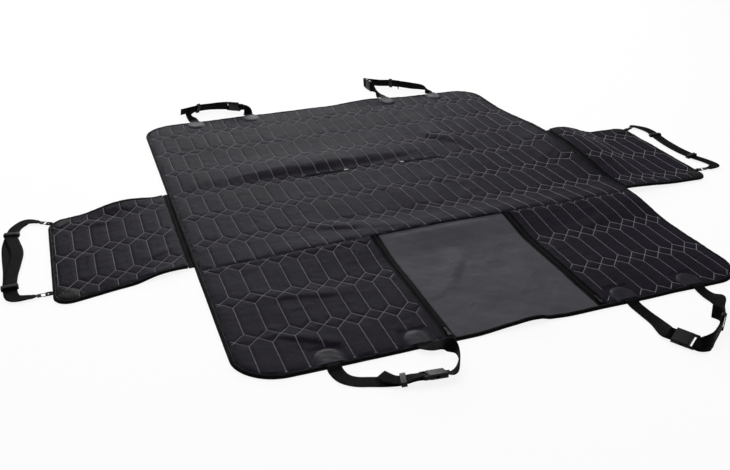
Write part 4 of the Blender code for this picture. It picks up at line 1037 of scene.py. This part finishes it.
def head_loop(tag, end, spec):
    """One headrest loop: the doubled strap with the plug, and the plain strap with the socket."""
    edge, across = end * HALF_L, spec["across"]
    band, reach_a, reach_b, tail = (moved(spec[k], 0, edge) for k in ("band", "reach_a", "reach_b", "tail"))
    at = frame_at(*moved([spec["mouth"]], 0, edge), spec["to_socket"], across)
    wide = at.to_3x3() @ Vector((0, 1, 0))
    near, bar = at @ Vector((-PLUG_L - BEFORE_BAR, 0, 0)), at @ Vector((-PLUG_L + BAR_R, 0, 0))
    slide = tuple((p + q) / 2 for p, q in zip(band[0], band[1]))
    band = [band[0], slide, *band[1:], (*near, *wide), (*bar, *wide)]
    rows = [*rooted(spec["root_a"], end), *reach_a, *doubled(band), *tail]
    ribbon(f"{tag}_slider_webbing", rows, [f"{tag}_slider_strap"])
    wide = same_way(wide, reach_b[-1])
    into = [(*(at @ Vector((SOCKET_L + d, 0, 0))), *wide) for d in PAST_SOCKET]
    root = rooted(spec["root_b"], end)
    if "turn_b" in spec:
        root[-1:] = moved(spec["turn_b"], 0, edge)
    ribbon(f"{tag}_plain_webbing", [*root, *reach_b, *into], [f"{tag}_plain_strap"])
    return at


MOUTHS = {tag: head_loop(tag, end, spec) for tag, (end, spec) in LOOPS.items()}
print("headrest loops:", ", ".join(MOUTHS))

# %% Routes of the flap straps, measured in X from the flap's outer edge
FLAP_STRAPS = {
    "left_flap": {
        "ends": {"back": (0.0103, -0.0163, (-0.82, 0.574, 0)), "front": (0, 0.062, (-1, 0, 0))},
        "outer": [(-0.055, 0.144, 0.0050, 0.35, 0.9, 0), (-0.0785, 0.119, 0.0040, 0.85, -0.5, 0),
                  (-0.0875, 0.090, 0.0043, 0.97, -0.24, 0), (-0.092, 0.065, 0.0043, 0.97, -0.22, 0),
                  (-0.0985, 0.015, 0.0030, 1, 0, 0), (-0.0975, -0.050, 0.0030, 1, -0.1, 0),
                  (-0.0945, -0.110, 0.0036, 1, -0.05, 0), (-0.094, -0.160, 0.0040, 1, 0, 0),
                  (-0.094, -0.205, 0.0043, 1, 0.05, 0), (-0.085, -0.250, 0.0045, 0.85, -0.5, 0)],
        "inner": [(-0.0885, 0.086, 0.0069, 0.97, -0.22, 0), (-0.092, 0.064, 0.0069, 0.97, -0.2, 0),
                  (-0.086, 0.030, 0.0066, 1, -0.05, 0), (-0.0775, -0.030, 0.0064, 1, -0.1, 0),
                  (-0.083, -0.090, 0.0064, 1, 0.05, 0), (-0.091, -0.150, 0.0066, 1, 0, 0),
                  (-0.094, -0.210, 0.0069, 1, 0.05, 0)],
        "sliders": [((-0.0900, 0.077, 0.0056), (-0.18, -1, 0), (1, -0.18, 0)),
                    ((-0.094, -0.200, 0.0056), (0.02, -1, 0), (1, 0.02, 0))],
    },
    "right_flap": {
        "ends": {"back": (-0.0039, -0.0267, (0.88, 0.43, 0)), "front": (0, 0.06, (1, 0, 0))},
        "outer": [(0.063, 0.160, 0.0060, 0.6, -0.8, 0), (0.070, 0.130, 0.0045, 0.95, -0.2, 0),
                  (0.064, 0.100, 0.0043, 1, 0, 0), (0.056, 0.050, 0.0040, 1, 0, 0),
                  (0.052, 0.000, 0.0040, 1, 0, 0), (0.053, -0.050, 0.0040, 1, 0.05, 0),
                  (0.060, -0.095, 0.0043, 0.97, 0.2, 0), (0.076, -0.138, 0.0040, 0.97, 0.1, 0),
                  (0.079, -0.174, 0.0045, 0.75, -0.6, 0)],
        "inner": [(0.0645, 0.106, 0.0069, 1, 0, 0), (0.0625, 0.094, 0.0069, 1, 0, 0),
                  (0.055, 0.040, 0.0067, 1, 0, 0), (0.053, -0.030, 0.0067, 1, 0.05, 0),
                  (0.0585, -0.088, 0.0069, 0.97, 0.2, 0), (0.0615, -0.100, 0.0069, 0.97, 0.2, 0)],
        "sliders": [((0.0635, 0.098, 0.0056), (-0.13, -1, 0), (1, -0.13, 0)),
                    ((0.0592, -0.091, 0.0056), (0.22, -1, 0), (1, 0.22, 0))],
    },
}


TAB_RISE, TAB_REACH = 0.0054, 0.0119  # the tab's middle over the flap's edge, and out from it


def edge_frame(x, y, out):
    """Frame at a flap's edge, its X pointing out along the strap."""
    p = drape(np.array([[x, y, 0.0]]))[0]
    run = Vector(out).normalized()
    return frame_at(Vector((p[0], p[1], p[2] + TAB_RISE)) + run * TAB_REACH, run, (-run.y, run.x, 0))


HOOKS = {}
STRAP_END = ((0.0229, 0.009), (0.030, 0.016), (0.040, 0.020))  # distance from the tab, width folded to fit it
for side_sign, (tag, spec) in zip((-1, 1), FLAP_STRAPS.items()):
    flat_edge = side_sign * (HALF_W + FLAP_W)
    edge = drape(np.array([[flat_edge, 0.0, 0.0]]))[0, 0]
    outer_rows, inner_rows = moved(spec["outer"], edge, 0), moved(spec["inner"], edge, 0)
    ends = []
    for place, (x, y, out) in spec["ends"].items():
        at = edge_frame(x + flat_edge, y + (FLAP_BACK_Y if place == "back" else FLAP_FRONT_Y), out)
        HOOKS[f"{tag}_{place}"] = at
        near = outer_rows[0 if place == "back" else -1]
        wide = same_way(at.to_3x3() @ Vector((0, 1, 0)), near)
        ends.append([(*(at @ Vector((d, 0, 0))), *wide, width) for d, width in STRAP_END])
    rows = [*ends[0], *[(*row, WEB_W) for row in outer_rows], *ends[1][::-1]]
    ribbon(f"{tag}_webbing", rows, [f"{tag}_strap"], flat=True)
    ribbon(f"{tag}_webbing_layer", inner_rows, [f"{tag}_strap_layer"], flat=True)
print("flap straps: 2, hooks:", len(HOOKS))

# %% [markdown]
# ## Buckles, sliders and hooks
# These are the part's own solids, whose outlines are right. A moulding has no sharp edges, so a copy of each
# is merged, its flat faces are joined, and its edges are rounded by half a millimetre, or less on metal.


# %% Rounded copies of the moulded solids
def rounded_copy(name, material, radius):
    """The solid merged, its coplanar triangles dissolved, and every edge sharper than 25 degrees bevelled."""
    bm = bmesh.new()
    bm.from_mesh(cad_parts[name].data)
    bmesh.ops.remove_doubles(bm, verts=bm.verts, dist=2e-5)
    bmesh.ops.dissolve_limit(bm, angle_limit=math.radians(2), verts=bm.verts, edges=bm.edges)
    sharp = [e for e in bm.edges if len(e.link_faces) == 2 and e.calc_face_angle(0) > math.radians(25)]
    bmesh.ops.bevel(bm, geom=sharp, offset=radius, segments=2, profile=0.6, affect="EDGES", clamp_overlap=True)
    bmesh.ops.triangulate(bm, faces=[f for f in bm.faces if len(f.verts) > 4])
    mesh = bpy.data.meshes.new(name + "_moulded")
    bm.to_mesh(mesh)
    bm.free()
    mesh.polygons.foreach_set("use_smooth", np.full(len(mesh.polygons), True))
    mesh.set_sharp_from_angle(angle=math.radians(40))
    return settle(bpy.data.objects.new(name + "_moulded", mesh), material, [name])


BUCKLE_PARTS = ("_plug", "_socket", "_slider", "_slider_back", "_slider_front")
made = []
for name in sorted(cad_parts):
    if name.endswith(BUCKLE_PARTS):
        made.append(rounded_copy(name, ACETAL, 0.0005))
    elif "_hook_" in name or "_zip_pull_" in name:
        made.append(rounded_copy(name, ZINC if "_hook_" in name else PAINTED, 0.0003))
print("rounded copies:", len(made))

# %% [markdown]
# ## Hook tabs
# Each hook goes through an eyelet in a small sewn tab. A plate with a hole is a ring-shaped grid: it runs
# from the hole's edge to the outline on one face and back on the other.


# %% Tabs with eyelets
def tab_with_eyelet(name, at, nodes):
    """Points blended from the hole's rim to the outline, out along the underside and back along the top."""
    a = np.linspace(0, 2 * math.pi, 40, endpoint=False)
    circle = np.stack([np.cos(a), np.sin(a)], 1)
    squarish = np.sign(circle) * np.abs(circle) ** 0.45
    hole, outline = squarish * (0.0021, 0.0036) + (-0.0019, 0), squarish * (0.0085, 0.008) + (-0.0045, 0)
    share = np.array([0, 0.15, 0.5, 0.85, 1.0, 1.0, 0.85, 0.5, 0.15, 0])
    level = np.array([-0.6, -1, -1.15, -1, -0.5, 0.5, 1, 1.15, 1, 0.6]) * 0.0013
    flat = hole[None] * (1 - share)[:, None, None] + outline[None] * share[:, None, None]
    local = np.concatenate([flat, np.broadcast_to(level[:, None, None], (*flat.shape[:2], 1))], -1)
    m = np.array(at)
    v = local @ m[:3, :3].T + m[:3, 3]
    faces = grid_faces(len(share), len(hole), wrap_rows=True, wrap_cols=True)
    return piece(name, v, faces, WEBBING, flat, nodes)


for key, at in HOOKS.items():
    tag, place = key.rsplit("_", 1)
    tab_with_eyelet(f"{tag}_eyelet_{place}", at, [f"{tag}_tab_{place}"])
print("tabs:", len(HOOKS))

# %% [markdown]
# ## Floor, light and camera
# The floor is white and plain, and the camera sees it almost as bright as paper while it keeps the cover's
# soft shadow. One big lamp behind the cover skims the cloth, as a studio window does, and a broad one above
# fills it. The camera was fitted to the quilting's own grid, so it stands where the photographer stood.


# %% Floor
FLOOR_Z, FLOOR_HALF, FLOOR_GLOW = -0.0006, 30, 0.86
WHITE = {"Color": (1, 1, 1, 1), "Strength": 1.0}
paint, tree, shader = new_material("studio_floor_painted", "#f2f2f2", 0.9)
ray = node(tree, "ShaderNodeLightPath").outputs
seen = maths(tree, "MAXIMUM", ray["Is Camera Ray"], ray["Is Glossy Ray"])
seen = maths(tree, "MAXIMUM", seen, ray["Is Transmission Ray"])
white = node(tree, "ShaderNodeEmission", WHITE)
inputs = {0: maths(tree, "MULTIPLY", seen, FLOOR_GLOW), 1: shader.outputs[0], 2: white.outputs[0]}
mixed = node(tree, "ShaderNodeMixShader", inputs)
tree.links.new(mixed.outputs[0], tree.nodes["Material Output"].inputs["Surface"])
mesh = bpy.data.meshes.new("floor")
square = [(x * FLOOR_HALF, y * FLOOR_HALF, FLOOR_Z) for x, y in ((-1, -1), (1, -1), (1, 1), (-1, 1))]
mesh.from_pydata(square, [], [(0, 1, 2, 3)])
mesh.materials.append(paint)
floor = bpy.data.objects.new("floor", mesh)
bpy.context.scene.collection.objects.link(floor)

# %% World and lamps
world = bpy.data.worlds.new("studio")
bpy.context.scene.world = world
world.use_nodes = True
tree = world.node_tree
ray = node(tree, "ShaderNodeLightPath").outputs
seen = maths(tree, "MAXIMUM", ray["Is Camera Ray"], ray["Is Transmission Ray"])
soft, paper = (node(tree, "ShaderNodeBackground", {**WHITE, "Strength": level}).outputs[0] for level in (0.45, 1.0))
both = node(tree, "ShaderNodeMixShader", {0: seen, 1: soft, 2: paper})
output = next(n for n in tree.nodes if n.type == "OUTPUT_WORLD")
tree.links.new(both.outputs[0], output.inputs["Surface"])


def lamp(name, place, target, size, power):
    """A rectangular area lamp at a place, facing a target."""
    data = bpy.data.lights.new(name, "AREA")
    data.shape, data.size, data.size_y, data.energy = "RECTANGLE", *size, power
    obj = bpy.data.objects.new(name, data)
    obj.location = place
    obj.rotation_euler = (Vector(target) - Vector(place)).to_track_quat("-Z", "Y").to_euler()
    bpy.context.scene.collection.objects.link(obj)


lamp("window_behind", (0.6, 4.2, 1.35), (-0.2, 0.5, 0), (3.0, 1.4), 122)
lamp("bank_above", (-0.2, 0.5, 3.4), (0, 0, 0), (3.0, 3.0), 66)

# %% Camera, fitted to the quilting
PICTURE = (730, 470)  # pixels
FOCAL_PX, YAW, PITCH_DOWN, STAND = 846.6, -20.05, 28.08, (-0.844, -2.078, 1.050)
SENSOR = 36.0
camera = bpy.data.cameras.new("camera")
camera.sensor_width, camera.lens = SENSOR, FOCAL_PX / PICTURE[0] * SENSOR
camera.clip_start, camera.clip_end = 0.05, 80.0
eye = bpy.data.objects.new("camera", camera)
eye.location = STAND
eye.rotation_euler = (math.radians(90 - PITCH_DOWN), 0.0, math.radians(YAW))
bpy.context.scene.collection.objects.link(eye)
bpy.context.scene.camera = eye
bpy.context.scene.view_settings.view_transform = "Standard"

# %% [markdown]
# Last, the scene is brought up to date. The visual model may stand a little proud of the solids,
# and no more.

# %% The end
bpy.context.view_layer.update()
